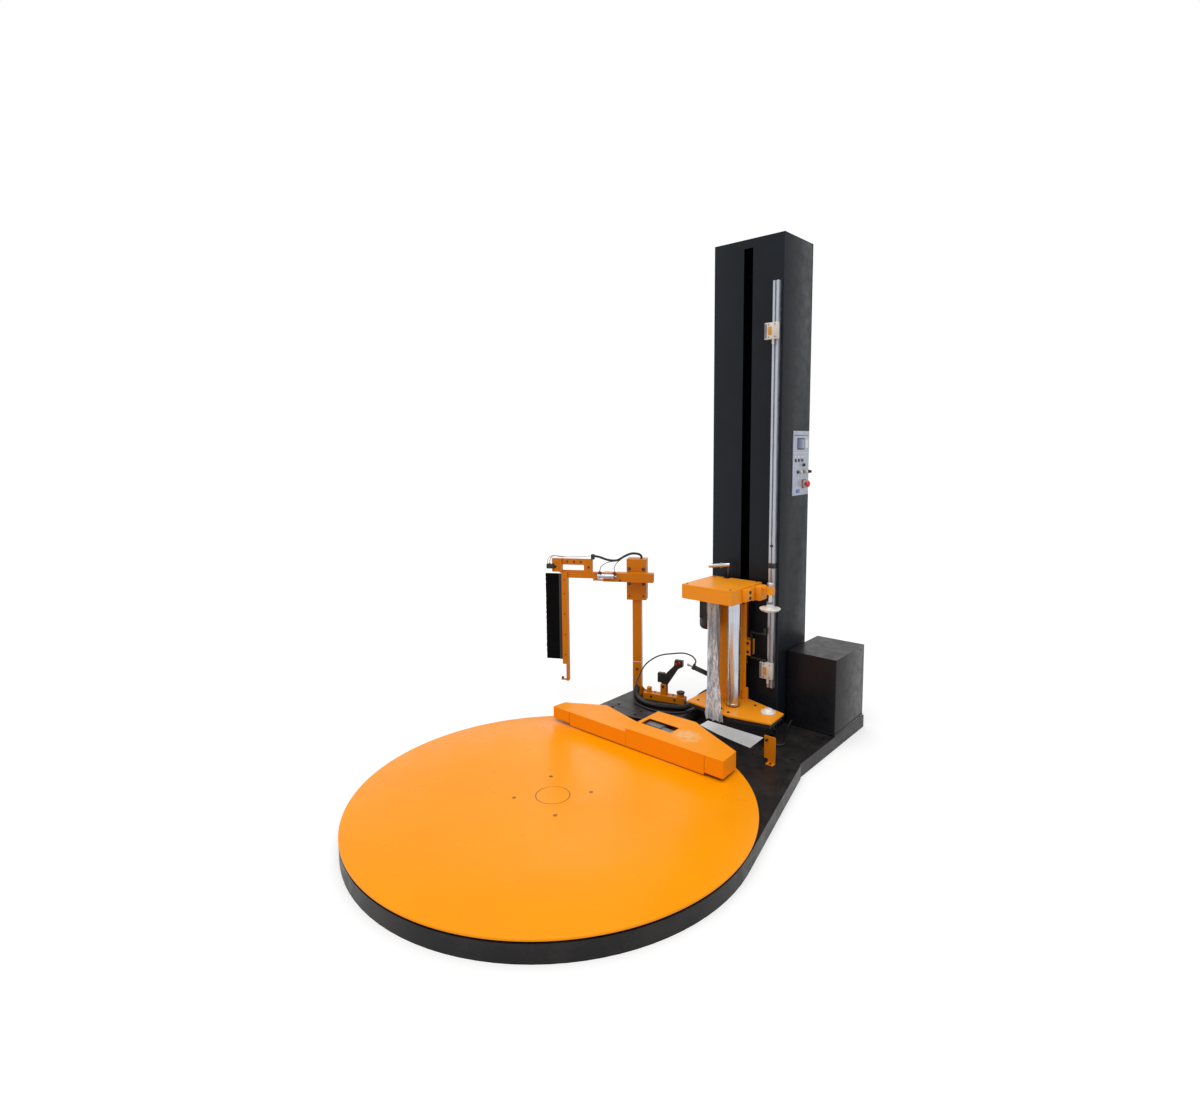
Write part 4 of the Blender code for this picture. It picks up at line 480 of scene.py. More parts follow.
def drawn_metal(name, slot, colour, roughness, stretch, pitch=700.0, lines=0.15):
    """Drawn or turned metal: its lines run the way that the stretch leaves long."""
    finish = Finish(name, slot, Metallic=1.0)
    grain = finish.noise(pitch, 3.0, 0.6, stretch)
    smudge = finish.noise(9.0, 5.0, 0.6)
    tone = finish.ramp(grain, toned(colour, (0, 0, 0), 0.2), colour, 0.25, 0.75)
    smudged = toned(colour, (0.1, 0.1, 0.1), 0.5)
    finish.feed("Base Color", finish.mixed(finish.span(smudge, 0.0, 0.25), tone, smudged))
    finish.feed("Roughness", finish.span(smudge, roughness - 0.06, roughness + 0.12))
    finish.bumps((grain, lines, 0.2 * MM))
    return finish


anodised = drawn_metal("anodised_rail", "aluminium", srgb(190, 195, 204), 0.36, (1, 1, 0.01))
bright_steel = drawn_metal("bright_steel", "bare_steel", srgb(200, 200, 204), 0.26, (1, 1, 1), 500.0, 0.08)
rounded_copy("limit_rail", anodised, 0.6 * MM)
RAIL_LOW, RAIL_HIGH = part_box("limit_rail")
rail_middle = (RAIL_LOW.x + RAIL_HIGH.x) / 2
bm = bmesh.new()
for z in (RAIL_LOW.z + 0.022, 1.150, 1.620, RAIL_HIGH.z - 0.022):
    cap_screw(bm, (rail_middle, RAIL_LOW.y + 12 * MM, z), (0, -1, 0), 0.0034, 2.1 * MM)
piece("rail_screws", bm, "machine", bright_steel)
bm = bmesh.new()
clip_front = RAIL_LOW.y - 2 * MM
block(
    bm, (RAIL_LOW.x - 2 * MM, clip_front, 0.889), (RAIL_HIGH.x + 2 * MM, RAIL_HIGH.y, 0.915),
    None, 1.2 * MM,
)
block(
    bm, (RAIL_LOW.x + 6 * MM, clip_front, 0.996), (RAIL_HIGH.x - 6 * MM, RAIL_LOW.y + 1 * MM, 1.006),
    None, 0.8 * MM,
)
piece("rail_clips", bm, "machine", black_nylon)

# ---------------------------------------------------------------- limit switches
# Two cream plastic switches that clamp to the rail and stop the carriage at its ends.
# Each has an amber window, a grey side plate, four screws and a gland underneath.
ivory = moulded("ivory_plastic", "white_plastic", srgb(226, 220, 208), 0.38, 0.1, 900.0, Coat_Weight=0.2)
amber = moulded("amber_plastic", "white_plastic", srgb(226, 150, 36), 0.34, 0.1, 900.0, Coat_Weight=0.3)
for side, tall in (("upper", 0.078), ("lower", 0.084)):
    switch = side + "_limit_switch"
    rounded_copy(switch, ivory, 1.2 * MM)
    low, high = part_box(switch)
    foot = high.z - tall
    middle = Vector(((low.x + high.x) / 2, low.y, (foot + high.z) / 2))
    bm = bmesh.new()
    window_low, window_high = Vector((-0.014, -1.5 * MM, -0.020)), Vector((0.005, 1 * MM, 0.020))
    block(bm, middle + window_low, middle + window_high, None, 0.8 * MM)
    piece(side + "_switch_window", bm, switch, amber)
    bm = bmesh.new()
    block(
        bm, (low.x + 1.6 * MM, low.y - 1.2 * MM, foot + 0.005),
        (low.x + 0.014, low.y + 1 * MM, high.z - 0.005), None, 0.6 * MM,
    )
    for z in (foot + 0.010, high.z - 0.010):
        for x in (middle.x - 0.010, middle.x + 0.022):
            cap_screw(bm, (x, low.y, z), (0, -1, 0), 0.0032, 0.0018)
    piece(side + "_switch_side", bm, switch, grey_casting)

# ---------------------------------------------------------------- control panel
# A pale painted plate on the mast's right side, with the display, keys and buttons through it.
# The small plates and keys are moulded, and the bezels are zinc plated.
PANEL_LOW, PANEL_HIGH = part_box("control_panel")
PANEL_FACE = PANEL_LOW.x + 4 * MM
OUTWARDS = (1, 0, 0)
PANEL_MIDDLE = 1.431
DISPLAY = (1.428, 1.5010)
KEYS = (1.374, 1.410, 1.446)
BUTTON_ROW = 1.359
STOP = (1.470, 1.297)
panel_paint = Finish("panel_enamel", "panel_grey", Coat_Weight=0.3)
panel_tone = panel_paint.ramp(panel_paint.noise(20.0), srgb(160, 168, 186), srgb(174, 182, 200))
panel_paint.feed("Base Color", panel_tone)
panel_paint.feed("Roughness", panel_paint.span(panel_paint.noise(60.0), 0.30, 0.42))
panel_paint.bumps((panel_paint.noise(420.0, 2.0), 0.08, 0.2 * MM))
rounded_copy("control_panel", panel_paint, 0.8 * MM)


def tile(bm, y, z, width, height, depth, round_off=0.5 * MM):
    """A small plate on the panel's face."""
    block(
        bm, (PANEL_FACE - 0.5 * MM, y - width / 2, z - height / 2),
        (PANEL_FACE + depth, y + width / 2, z + height / 2), None, round_off,
    )


bm = bmesh.new()
tile(bm, PANEL_MIDDLE, 1.5440, 0.160, 0.0030, 0.5 * MM, 0.1 * MM)
tile(bm, *DISPLAY, 0.078, 0.058, 1.4 * MM)
for y in KEYS:
    tile(bm, y, 1.418, 0.022, 0.014, 2.4 * MM, 0.9 * MM)
tile(bm, *STOP, 0.044, 0.044, 2.0 * MM)
for y in (1.398, 1.454):
    cap = [(0, 0), (0.0085, 0), (0.0085, 0.004), (0.006, 0.008), (0, 0.008)]
    turned(bm, cap, (PANEL_FACE, y, BUTTON_ROW), OUTWARDS, None, 20)
piece("panel_keys", bm, "machine", black_nylon)

display = Finish("display_window", "black_plastic", Roughness=0.12, Coat_Weight=0.6)
rows = display.made("ShaderNodeTexWave", wave_type="BANDS", bands_direction="Z", Scale=55.0, Distortion=0.0)
display.tree.links.new(display.place, rows.inputs["Vector"])
display.feed("Base Color", display.ramp(rows.outputs["Fac"], srgb(52, 62, 112), srgb(86, 98, 154), 0.2, 0.8))
display.bumps((display.noise(300.0), 0.03, 0.1 * MM))
bm = bmesh.new()
tile(bm, *DISPLAY, 0.066, 0.046, 1.8 * MM, 0.3 * MM)
piece("panel_display", bm, "machine", display)

white_plastic = moulded(
    "white_plastic", "white_plastic", srgb(232, 231, 226), 0.34, 0.1, 900.0, Coat_Weight=0.2
)
bm = bmesh.new()
tile(bm, 1.493, DISPLAY[1], 0.030, 0.042, 1.0 * MM, 0.4 * MM)
for y in KEYS:
    tile(bm, y, 1.4355, 0.018, 0.006, 0.5 * MM, 0.1 * MM)
tile(bm, PANEL_MIDDLE, 1.4560, 0.160, 0.0020, 0.4 * MM, 0.1 * MM)
piece("panel_labels", bm, "machine", white_plastic)

blue_plastic = moulded("blue_plastic", "black_plastic", srgb(44, 88, 176), 0.3, 0.05, 900.0, Coat_Weight=0.3)
bm = bmesh.new()
tile(bm, 1.404, 1.2620, 0.044, 0.018, 0.6 * MM, 0.2 * MM)
piece("panel_strip", bm, "machine", blue_plastic)

zinc = drawn_metal("zinc_plate", "bare_steel", srgb(204, 203, 196), 0.34, (1, 1, 1), 300.0, 0.1)
bm = bmesh.new()
for y in (PANEL_LOW.y + 7 * MM, PANEL_HIGH.y - 7 * MM):
    for z in (PANEL_LOW.z + 7 * MM, PANEL_HIGH.z - 7 * MM):
        cap_screw(bm, (PANEL_FACE, y, z), OUTWARDS, 0.0032, 0.0018)
for y, z in ((1.425, BUTTON_ROW), (1.483, BUTTON_ROW), (1.452, 1.394), (1.508, BUTTON_ROW)):
    bezel = [(0.0087, 0), (0.0108, 0), (0.0108, 0.0022), (0.0098, 0.003), (0.0087, 0.003)]
    turned(bm, bezel, (PANEL_FACE, y, z), OUTWARDS, None, 28, ring=True)
piece("panel_bezels", bm, "machine", zinc)

# ---------------------------------------------------------------- buttons and knobs
# Moulded push buttons, a speed knob and a turn switch, each on a stem through the panel.
# The emergency stop is a red mushroom over an amber ring.
rounded_copy("start_button", ivory, 0.8 * MM)
rounded_copy("stop_button", ivory, 0.8 * MM)
rounded_copy("speed_knob", black_nylon, 0.6 * MM)
rounded_copy("selector_switch", black_nylon, 0.6 * MM)
red_plastic = moulded("red_plastic", "red_plastic", srgb(206, 28, 22), 0.28, 0.05, 900.0, Coat_Weight=0.4)
STOP_CENTRE = (PANEL_FACE, *STOP)
bm = bmesh.new()
turned(
    bm,
    [
        (0, 0.0322), (0.006, 0.0320), (0.012, 0.0302), (0.0160, 0.0272), (0.0178, 0.0236), (0.0178, 0.0205),
        (0.0170, 0.0186), (0.0112, 0.0150), (0.0080, 0.0150), (0.0080, -0.014), (0, -0.014),
    ],
    STOP_CENTRE, OUTWARDS, None, 48,
)
piece("stop_mushroom", bm, "emergency_stop", red_plastic, ["emergency_stop"])
bm = bmesh.new()
stop_ring = [(0.0100, 0.0018), (0.0205, 0.0018), (0.0205, 0.0034), (0.0164, 0.0044), (0.0100, 0.0044)]
turned(bm, stop_ring, STOP_CENTRE, OUTWARDS, None, 40, ring=True)
piece("stop_ring", bm, "machine", amber)

# ---------------------------------------------------------------- side cabinet
# The dark sheet box beside the mast that holds the inverter, with a folded foot flange.
# It is screwed to the deck, and louvres in its back let the heat out.
BOX_LOW, BOX_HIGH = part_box("side_cabinet")
cabinet_paint = black_enamel("cabinet_enamel", "black_paint", srgb(20, 20, 24), srgb(78, 74, 76), 0.30, 0.06)
rounded_copy("side_cabinet", cabinet_paint, 2.0 * MM)
rounded_copy("inverter_unit", grey_casting, 1.0 * MM)
flange_top = BOX_LOW.z + 0.014
LOUVRES, LOUVRE_FOOT, LOUVRE_PITCH = 7, 0.300, 0.014
bm = bmesh.new()
block(
    bm, (BOX_LOW.x - 1 * MM, BOX_LOW.y - 1.6 * MM, BOX_LOW.z),
    (BOX_HIGH.x + 1.2 * MM, BOX_LOW.y + 1 * MM, flange_top), None, 0.6 * MM,
)
block(
    bm, (BOX_HIGH.x - 1 * MM, BOX_LOW.y - 1.2 * MM, BOX_LOW.z),
    (BOX_HIGH.x + 1.6 * MM, BOX_HIGH.y, flange_top), None, 0.6 * MM,
)
for louvre in range(LOUVRES):
    z = LOUVRE_FOOT + LOUVRE_PITCH * louvre
    block(
        bm, (BOX_LOW.x + 0.07, BOX_HIGH.y - 0.5 * MM, z),
        (BOX_HIGH.x - 0.07, BOX_HIGH.y + 1.2 * MM, z + 6 * MM), None, 0.5 * MM,
    )
piece("cabinet_folds", bm, "machine", cabinet_paint)
bm = bmesh.new()
for x in (BOX_LOW.x + 0.030, BOX_HIGH.x - 0.030):
    cap_screw(bm, (x, BOX_LOW.y - 1.4 * MM, BOX_LOW.z + 7 * MM), (0, -1, 0), 0.0034, 0.0018)
for y in (BOX_LOW.y + 0.040, BOX_HIGH.y - 0.040):
    cap_screw(bm, (BOX_HIGH.x + 1.4 * MM, y, BOX_LOW.z + 7 * MM), OUTWARDS, 0.0034, 0.0018)
    cap_screw(bm, (BOX_HIGH.x, y, BOX_HIGH.z - 0.020), OUTWARDS, 0.0034, 0.0018)
piece("cabinet_screws", bm, "machine", fastener_steel)

# ---------------------------------------------------------------- drive covers
# Two folded orange covers that span the disc's edge over the drive, the right one raised.
# Their end blocks butt against seams, and a window in the lid shows the drive wheel.
COVER_LOOK = (srgb(248, 150, 10), 0.42, 0.05, 0.20, 0.14)
cover_paint = orange_enamel("cover_enamel", *COVER_LOOK)
rounded_copy("drive_cover", cover_paint, 1.8 * MM)
lid_paint = orange_enamel("lid_enamel_painted_highlight", *COVER_LOOK)
# A pale spot on the lid's top, broken up by noise, is painted highlight where the lid catches the light from
# above.
highlight_place = lid_paint.made(
    "ShaderNodeMapping", vector_type="TEXTURE", Location=(0.215, 0.650, 0.18), Scale=(0.085, 0.075, 0.06)
)
lid_paint.tree.links.new(lid_paint.place, highlight_place.inputs["Vector"])
highlight_patch = lid_paint.made("ShaderNodeTexGradient", gradient_type="SPHERICAL")
lid_paint.tree.links.new(highlight_place.outputs["Vector"], highlight_patch.inputs["Vector"])
painted_highlight_mask = lid_paint.made("ShaderNodeMath", operation="MULTIPLY")
lid_paint.tree.links.new(lid_paint.span(highlight_patch.outputs["Fac"], 0.0, 1.0, 0.05, 0.6), painted_highlight_mask.inputs[0])
broken = lid_paint.span(lid_paint.noise(32.0, 8.0, 0.7), 0.0, 0.9, 0.40, 0.62)
lid_paint.tree.links.new(broken, painted_highlight_mask.inputs[1])
whole_paint = lid_paint.shader.inputs["Base Color"].links[0].from_socket
# The pale colour mixed in here is the painted highlight.
lid_paint.feed("Base Color", lid_paint.mixed(painted_highlight_mask.outputs[0], whole_paint, srgb(226, 204, 160)))
rounded_copy("drive_cover_lid", lid_paint, 1.8 * MM)
rounded_copy("drive_gearmotor", grey_casting, 1.2 * MM)
tyre = moulded("black_rubber", "rubber", srgb(24, 24, 25), 0.62, 0.3, 420.0)
rounded_copy("drive_wheel", tyre, 1.0 * MM)
COVER_LOW, COVER_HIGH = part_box("drive_cover")
LID_LOW, LID_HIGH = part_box("drive_cover_lid")
END_SEAMS = (
    (-0.431, COVER_LOW.z, COVER_HIGH.z, COVER_LOW.y),
    (0.380, LID_LOW.z, LID_HIGH.z, LID_LOW.y + 4.2 * MM),
)
bm = bmesh.new()
for x, z, top, front in END_SEAMS:
    block(bm, (x - 0.7 * MM, front - 0.3 * MM, z), (x + 0.7 * MM, front + 1 * MM, top - 2 * MM))
for x in (0.165, 0.280):
    block(bm, (x - 0.4 * MM, 0.546, LID_HIGH.z - 1 * MM), (x + 0.4 * MM, 0.735, LID_HIGH.z - 9.7 * MM))
piece("cover_seams", bm, "machine", fastener_steel)
bm = bmesh.new()
block(bm, (-0.060, 0.776, LID_HIGH.z - 11 * MM), (-0.030, 0.792, LID_HIGH.z - 8 * MM), None, 0.8 * MM)
piece("lid_tab", bm, "machine", ivory)

# ---------------------------------------------------------------- film carriage
# The orange housing over the pre-stretch gears, its back and lower plates, and the trolley in the mast.
# It is folded and welded sheet, with brackets and bolts on its right end for the core holder.
HOUSING_LOW, HOUSING_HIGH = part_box("carriage_housing")
PLATE_TOP = 0.200
carriage_paint = orange_enamel("carriage_enamel", srgb(242, 152, 30), 0.36, 0.10, 0.20, 0.16)
CARRIAGE_EDGES = {"carriage_housing": 2.2, "carriage_frame": 1.4, "core_holder": 1.6, "lift_trolley": 1.2}
for node, edge in CARRIAGE_EDGES.items():
    rounded_copy(node, carriage_paint, edge * MM)
rounded_copy("bottom_bumper", tyre, 1.6 * MM)
rounded_copy("limit_trigger", black_nylon, 0.8 * MM)
right = HOUSING_HIGH.x
bm = bmesh.new()
block(
    bm, (right, 1.000, HOUSING_LOW.z + 4 * MM),
    (right + 0.020, 1.090, HOUSING_HIGH.z - 6 * MM), None, 4 * MM,
)
block(
    bm, (right - 0.010, 1.092, HOUSING_LOW.z - 4 * MM),
    (right + 0.012, 1.104, HOUSING_HIGH.z - 4 * MM), None, 1.5 * MM,
)
for x in (0.0, 0.194):
    block(bm, (x, 1.1680, PLATE_TOP), (x + 0.020, 1.1705, 0.740), None, 0.8 * MM)
piece("carriage_brackets", bm, "carriage", carriage_paint)
bm = bmesh.new()
for x, y in ((0.020, 0.928), (0.266, 0.928), (0.020, 1.176), (0.266, 1.176)):
    cap_screw(bm, (x, y, HOUSING_HIGH.z), radius=0.0042, height=0.0026)
for z in (0.762, 0.790):
    hex_bolt(bm, (right + 0.020, 1.045, z), OUTWARDS)
for x in (0.030, 0.200):
    for z in (0.232, 0.700):
        hex_bolt(bm, (x, 1.168, z), (0, -1, 0), 0.0055)
for x, y in ((0.243, 0.958), (0.190, 0.980), (0.300, 1.120), (0.040, 1.000)):
    hex_bolt(bm, (x, y, PLATE_TOP), radius=0.005)
for z in (0.448, 0.492):
    hex_bolt(bm, (0.222, 1.1763, z), (0, -1, 0), 0.0052)
piece("carriage_bolts", bm, "carriage", fastener_steel)

# ---------------------------------------------------------------- pre-stretch rollers
# Two bright steel tubes with pressed end plugs, on shafts in the plate and housing.
# Unequal gears in the housing make the back roller pull faster than the front one.
ROLLER_RADIUS = 0.0325
BARREL = ROLLER_RADIUS - 0.8 * MM
SHAFT = 0.010
roller_steel = drawn_metal("roller_tube", "aluminium", srgb(200, 206, 216), 0.20, (1, 1, 0.02), 500.0, 0.12)
for node, gear in (("prestretch_roller_drive", 0.0647), ("prestretch_roller_follow", 0.0517)):
    low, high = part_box(node)
    centre = ((low.x + high.x) / 2, (low.y + high.y) / 2, 0)
    foot, head, gear_foot = PLATE_TOP + 6 * MM, HOUSING_LOW.z - 6 * MM, HOUSING_LOW.z + 12 * MM
    bm = bmesh.new()
    turned(
        bm,
        [
            (0, high.z), (gear - 1 * MM, high.z), (gear, high.z - 1 * MM), (gear, gear_foot + 1 * MM),
            (gear - 1 * MM, gear_foot), (SHAFT, gear_foot), (SHAFT, head), (ROLLER_RADIUS - 3 * MM, head),
            (ROLLER_RADIUS, head - 2 * MM), (ROLLER_RADIUS, head - 12 * MM), (BARREL, head - 13 * MM),
            (BARREL, foot + 13 * MM), (ROLLER_RADIUS, foot + 12 * MM), (ROLLER_RADIUS, foot + 2 * MM),
            (ROLLER_RADIUS - 3 * MM, foot), (SHAFT, foot), (SHAFT, low.z), (0, low.z),
        ],
        centre, steps=72,
    )
    piece(node + "_tube", bm, node, roller_steel, [node])

# ---------------------------------------------------------------- core seat, cone and plunger
# White nylon seat and cone that centre a film roll's core, on a steel plunger in the holder.
# A ridged collar is locked on the plunger, just over the cone.
CORE = (0.394, 1.078, 0.0)
low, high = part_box("core_seat")
rim = (high.x - low.x) / 2
bm = bmesh.new()
turned(
    bm,
    [
        (0, PLATE_TOP + 0.0220), (0.016, PLATE_TOP + 0.0220), (0.018, PLATE_TOP + 0.0210),
        (0.0255, PLATE_TOP + 0.0105),
        (0.027, PLATE_TOP + 0.0080), (rim - 1 * MM, PLATE_TOP + 0.0080), (rim, PLATE_TOP + 0.0070),
        (rim, PLATE_TOP + 0.0012), (rim - 1 * MM, PLATE_TOP + 0.0003),
        (SHAFT, PLATE_TOP + 0.0003), (SHAFT, low.z), (0, low.z),
    ],
    CORE, steps=64,
)
piece("seat_moulding", bm, "core_seat", white_plastic, ["core_seat"])
CONE = 0.702
bm = bmesh.new()
turned(
    bm,
    [
        (0.0064, CONE + 0.0400), (0.0135, CONE + 0.0400), (0.0150, CONE + 0.0385), (0.0178, CONE + 0.0240),
        (0.0205, CONE + 0.0215), (0.0485, CONE + 0.0200), (0.0500, CONE + 0.0185), (0.0490, CONE + 0.0150),
        (0.0440, CONE + 0.0090), (0.0260, CONE + 0.0006), (0.0240, CONE), (0.0075, CONE),
        (0.0064, CONE + 0.0030),
    ],
    CORE, steps=72, ring=True,
)
piece("cone_moulding", bm, "core_cone", white_plastic, ["core_cone"])
bm = bmesh.new()
turned(
    bm,
    [
        (0, 0.846), (0.012, 0.846), (0.014, 0.844), (0.014, 0.833), (0.013, 0.832),
        (0.009, 0.832), (0.009, 0.7523),
        (0.0125, 0.7523), (0.013, 0.7518), (0.013, 0.7423), (0.006, 0.7423), (0.006, 0.708), (0, 0.708),
    ],
    CORE, steps=48,
)
piece("plunger_rod", bm, "core_plunger", bright_steel, ["core_plunger"])
bm = bmesh.new()
collar = [(0.0126, 0.7428), (0.0156, 0.7428), (0.0156, 0.7514), (0.0126, 0.7514)]
turned(bm, collar, CORE, steps=40, ring=True)
for ridge in range(3):
    z = 0.7431 + 0.0028 * ridge
    knurl = [(0.0152, z), (0.0164, z + 0.6 * MM), (0.0164, z + 1.6 * MM), (0.0152, z + 2.2 * MM)]
    turned(bm, knurl, CORE, steps=40, ring=True)
piece("plunger_collar", bm, "core_plunger", grey_casting)

# ---------------------------------------------------------------- carriage motor
# The small black motor that turns the rollers, hung from the housing by its flange.
# Its barrel is ribbed for cooling, with a rounded bell at the free end.
low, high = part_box("carriage_motor")
motor_centre = ((low.x + high.x) / 2, (low.y + high.y) / 2, 0)
radius = (high.x - low.x) / 2
MOTOR_RIBS = 28
bm = bmesh.new()
turned(
    bm,
    [
        (0, high.z), (radius, high.z), (radius, high.z - 0.012), (radius - 3 * MM, high.z - 0.014),
        (radius - 3 * MM, 0.600), (radius - 1 * MM, 0.598), (radius - 1 * MM, 0.570),
        (radius - 4 * MM, 0.560),
        (radius - 11 * MM, 0.552), (radius - 16 * MM, 0.550), (0, 0.550),
    ],
    motor_centre, steps=56,
)
for rib in range(MOTOR_RIBS):
    place = Matrix.Translation(motor_centre) @ Matrix.Rotation(2 * math.pi * rib / MOTOR_RIBS, 4, "Z")
    block(bm, (radius - 4 * MM, -1.1 * MM, 0.606), (radius - 0.4 * MM, 1.1 * MM, high.z - 0.016), place)
piece("motor_body", bm, "carriage", black_nylon, ["carriage_motor"])

# ---------------------------------------------------------------- film sensor
# A threaded steel light sensor in two lock nuts, on a bent strip that is screwed to the housing.
HOUSING_LID = HOUSING_HIGH.z + 0.3 * MM
bm = bmesh.new()
block(bm, (0.080, 1.160, HOUSING_LID), (0.110, 1.192, HOUSING_LID + 3 * MM), None, 0.8 * MM)
block(bm, (0.090, 1.1885, HOUSING_LID), (0.100, 1.192, 0.892), None, 0.8 * MM)
piece("sensor_stem", bm, "carriage", fastener_steel, ["film_sensor"])
SENSOR_TAIL, SENSOR_FACE = Vector((0.006, 1.142, 0.874)), Vector((0.106, 1.186, 0.884))
sensor_way = (SENSOR_FACE - SENSOR_TAIL).normalized()
reach = (SENSOR_FACE - SENSOR_TAIL).length
bm = bmesh.new()
thread = [(0.0097 + 0.0008 * (turn % 2), 0.024 + 0.002 * turn) for turn in range(23)]
turned(
    bm,
    [
        (0, 0), (0.0095, 0), (0.0108, 0.001), (0.0108, 0.022), *thread, (0.0110, 0.071),
        (0.0110, reach - 1 * MM), (0.010, reach), (0, reach),
    ],
    SENSOR_TAIL, sensor_way, None, 36,
)
piece("sensor_barrel", bm, "carriage", bright_steel)
bm = bmesh.new()
for gone in (0.060, 0.068):
    nut = [(0.0100, 0), (0.0150, 0), (0.0150, 0.004), (0.0100, 0.004)]
    turned(bm, nut, SENSOR_TAIL + sensor_way * gone, sensor_way, None, 6, ring=True)
piece("sensor_nuts", bm, "carriage", zinc)

# ---------------------------------------------------------------- stretch film
# The gathered tail of clear film that leaves the front roller and hangs over the lower plate's edge.
# It is a few hundredths of a millimetre thick, so its folds show as white streaks.
film = Finish("stretch_film", "film", Roughness=0.18, IOR=1.48, Coat_Weight=0.3, Specular_IOR_Level=0.7)
streaks = film.noise(90.0, 6.0, 0.6, (1.0, 1.0, 0.045))
film.feed("Base Color", film.ramp(streaks, srgb(150, 158, 168), srgb(242, 244, 247), 0.38, 0.62))
fine = film.noise(210.0, 5.0, 0.7, (1.0, 1.0, 0.06))
film.feed("Alpha", film.span(fine, 0.34, 0.94, 0.38, 0.62))
film.bumps((streaks, 0.5, 1.5 * MM), (fine, 0.35, 0.6 * MM))
# Stations down the film's middle: height, then x and y, then width.
TAIL = [
    (0.738, 0.0985, 1.0102, 0.034), (0.640, 0.1100, 1.0060, 0.042), (0.540, 0.1240, 0.9980, 0.050),
    (0.440, 0.1390, 0.9820, 0.058), (0.350, 0.1550, 0.9620, 0.068), (0.270, 0.1690, 0.9380, 0.082),
    (0.215, 0.1800, 0.9220, 0.094), (0.185, 0.1860, 0.9185, 0.102), (0.158, 0.1900, 0.9180, 0.104),
]


def tail_point(down, across):
    """Where the film's folds are: down runs from 0 to 1, and across from -1 to 1."""
    place = down * (len(TAIL) - 1)
    station = min(int(place), len(TAIL) - 2)
    z, x, y, width = Vector(TAIL[station]).lerp(Vector(TAIL[station + 1]), place - station)
    folds = 0.0032 * math.sin(across * 17.0 + 1.2 * math.sin(down * 7.0))
    folds += 0.0016 * math.sin(across * 41.0 + down * 9.0)
    ragged = 0.002 * math.sin(down * 23.0) * across
    hem = 0.0036 * math.sin(across * 9.0) * max(0.0, down - 0.9) * 10.0
    return Vector((x + across * width / 2 + ragged, y + folds * (0.6 + 0.4 * down), z + hem))


bm = bmesh.new()
bmesh.ops.create_grid(bm, x_segments=46, y_segments=64, size=1.0)
for corner in bm.verts:
    corner.co = tail_point((1.0 - corner.co.y) / 2, corner.co.x)
tail = piece("film_tail_sheet", bm, "carriage", film, ["film_tail"])
thickness = tail.modifiers.new("film", "SOLIDIFY")
thickness.thickness = 0.3 * MM
thickness.offset = 0.0
low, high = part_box("prestretch_roller_follow")
roller_x, roller_y = (low.x + high.x) / 2, (low.y + high.y) / 2
WRAP_FACES, WRAP_REACH = 20, 115
WRAP_MIDDLE, WRAP_HALF = 0.483, 0.245
bm = bmesh.new()
bmesh.ops.create_grid(bm, x_segments=48, y_segments=40, size=1.0)
for corner in bm.verts:
    angle = math.radians(WRAP_FACES + WRAP_REACH * corner.co.x)
    z = WRAP_MIDDLE + WRAP_HALF * corner.co.y
    gather = 0.0332 + 0.0005 * math.sin(z * 130.0 + angle * 3.0) + 0.0004 * math.sin(angle * 9.0 + z * 31.0)
    corner.co = (roller_x + gather * math.cos(angle), roller_y + gather * math.sin(angle), z)
piece("film_wrap", bm, "carriage", film)

# ---------------------------------------------------------------- wiper arm
# A square orange post that swings on its welded stub, with a bolted head that grips the cross tube.
# An air cylinder on the tube's face swings the wiper, fed by push-in fittings.
ARM = Matrix.Translation((-0.4805, 1.153, 0.0)) @ Matrix.Rotation(math.radians(210.0), 4, "Z")
TUBE_Y = 0.0623
TUBE_FACE = TUBE_Y + 0.025
# The arm's orange is darker than the other orange paints: painted shade, for the arm stands in shade. The
# wiper frame, clamp base and sensor bracket take the same darker orange.
arm_paint_darkened_for_shade = orange_enamel("arm_enamel_darkened_for_shade", srgb(206, 120, 14), 0.40, 0.08, 0.22, 0.16)
for node, edge in (("arm_post_stub", 1.6), ("arm_post", 1.8), ("arm_cross_tube", 1.4)):
    rounded_copy(node, arm_paint_darkened_for_shade, edge * MM)
bm = bmesh.new()
for t in (-0.040, 0.040):
    for z in (0.720, 0.806):
        hex_bolt(bm, (t, 0.037, z), (0, 1, 0), 0.0065, ARM)
    cap_screw(bm, (t, 0.037, 0.650), (0, 1, 0), 0.0045, 0.0035, ARM)
hex_bolt(bm, (0.085, TUBE_FACE, 0.748), (0, 1, 0), 0.0045, ARM)
piece("arm_bolts", bm, "swing_arm", fastener_steel)
bm = bmesh.new()
for z in (0.120, 0.220):
    hex_bolt(bm, (0.0, 0.0250, z), (0, 1, 0), 0.0050, ARM)
piece("stub_bolts", bm, "machine", fastener_steel)
bm = bmesh.new()
block(bm, (-0.0262, -0.0262, 0.2600), (0.0262, 0.0262, 0.2640), ARM, 0.8 * MM)
piece("post_washer", bm, "machine", ivory)
bm = bmesh.new()
block(bm, (-0.1015, TUBE_Y - 0.0235, 0.7395), (-0.0985, TUBE_Y + 0.0235, 0.7865), ARM, 1.0 * MM)
piece("tube_end_plug", bm, "swing_arm", black_nylon)
fitting_y = TUBE_FACE + 0.0145
CYLINDER_Z = 0.772
bm = bmesh.new()
turned(
    bm,
    [
        (0, 0), (0.012, 0), (0.014, 0.002), (0.014, 0.014), (0.0125, 0.016), (0.0125, 0.078),
        (0.014, 0.080),
        (0.014, 0.095), (0.012, 0.097), (0, 0.097),
    ],
    (0.115, fitting_y, CYLINDER_Z), OUTWARDS, ARM, 40,
)
rod = [(0, 0), (0.0045, 0), (0.0045, 0.016), (0, 0.016)]
turned(bm, rod, (0.100, fitting_y, CYLINDER_Z), OUTWARDS, ARM, 20)
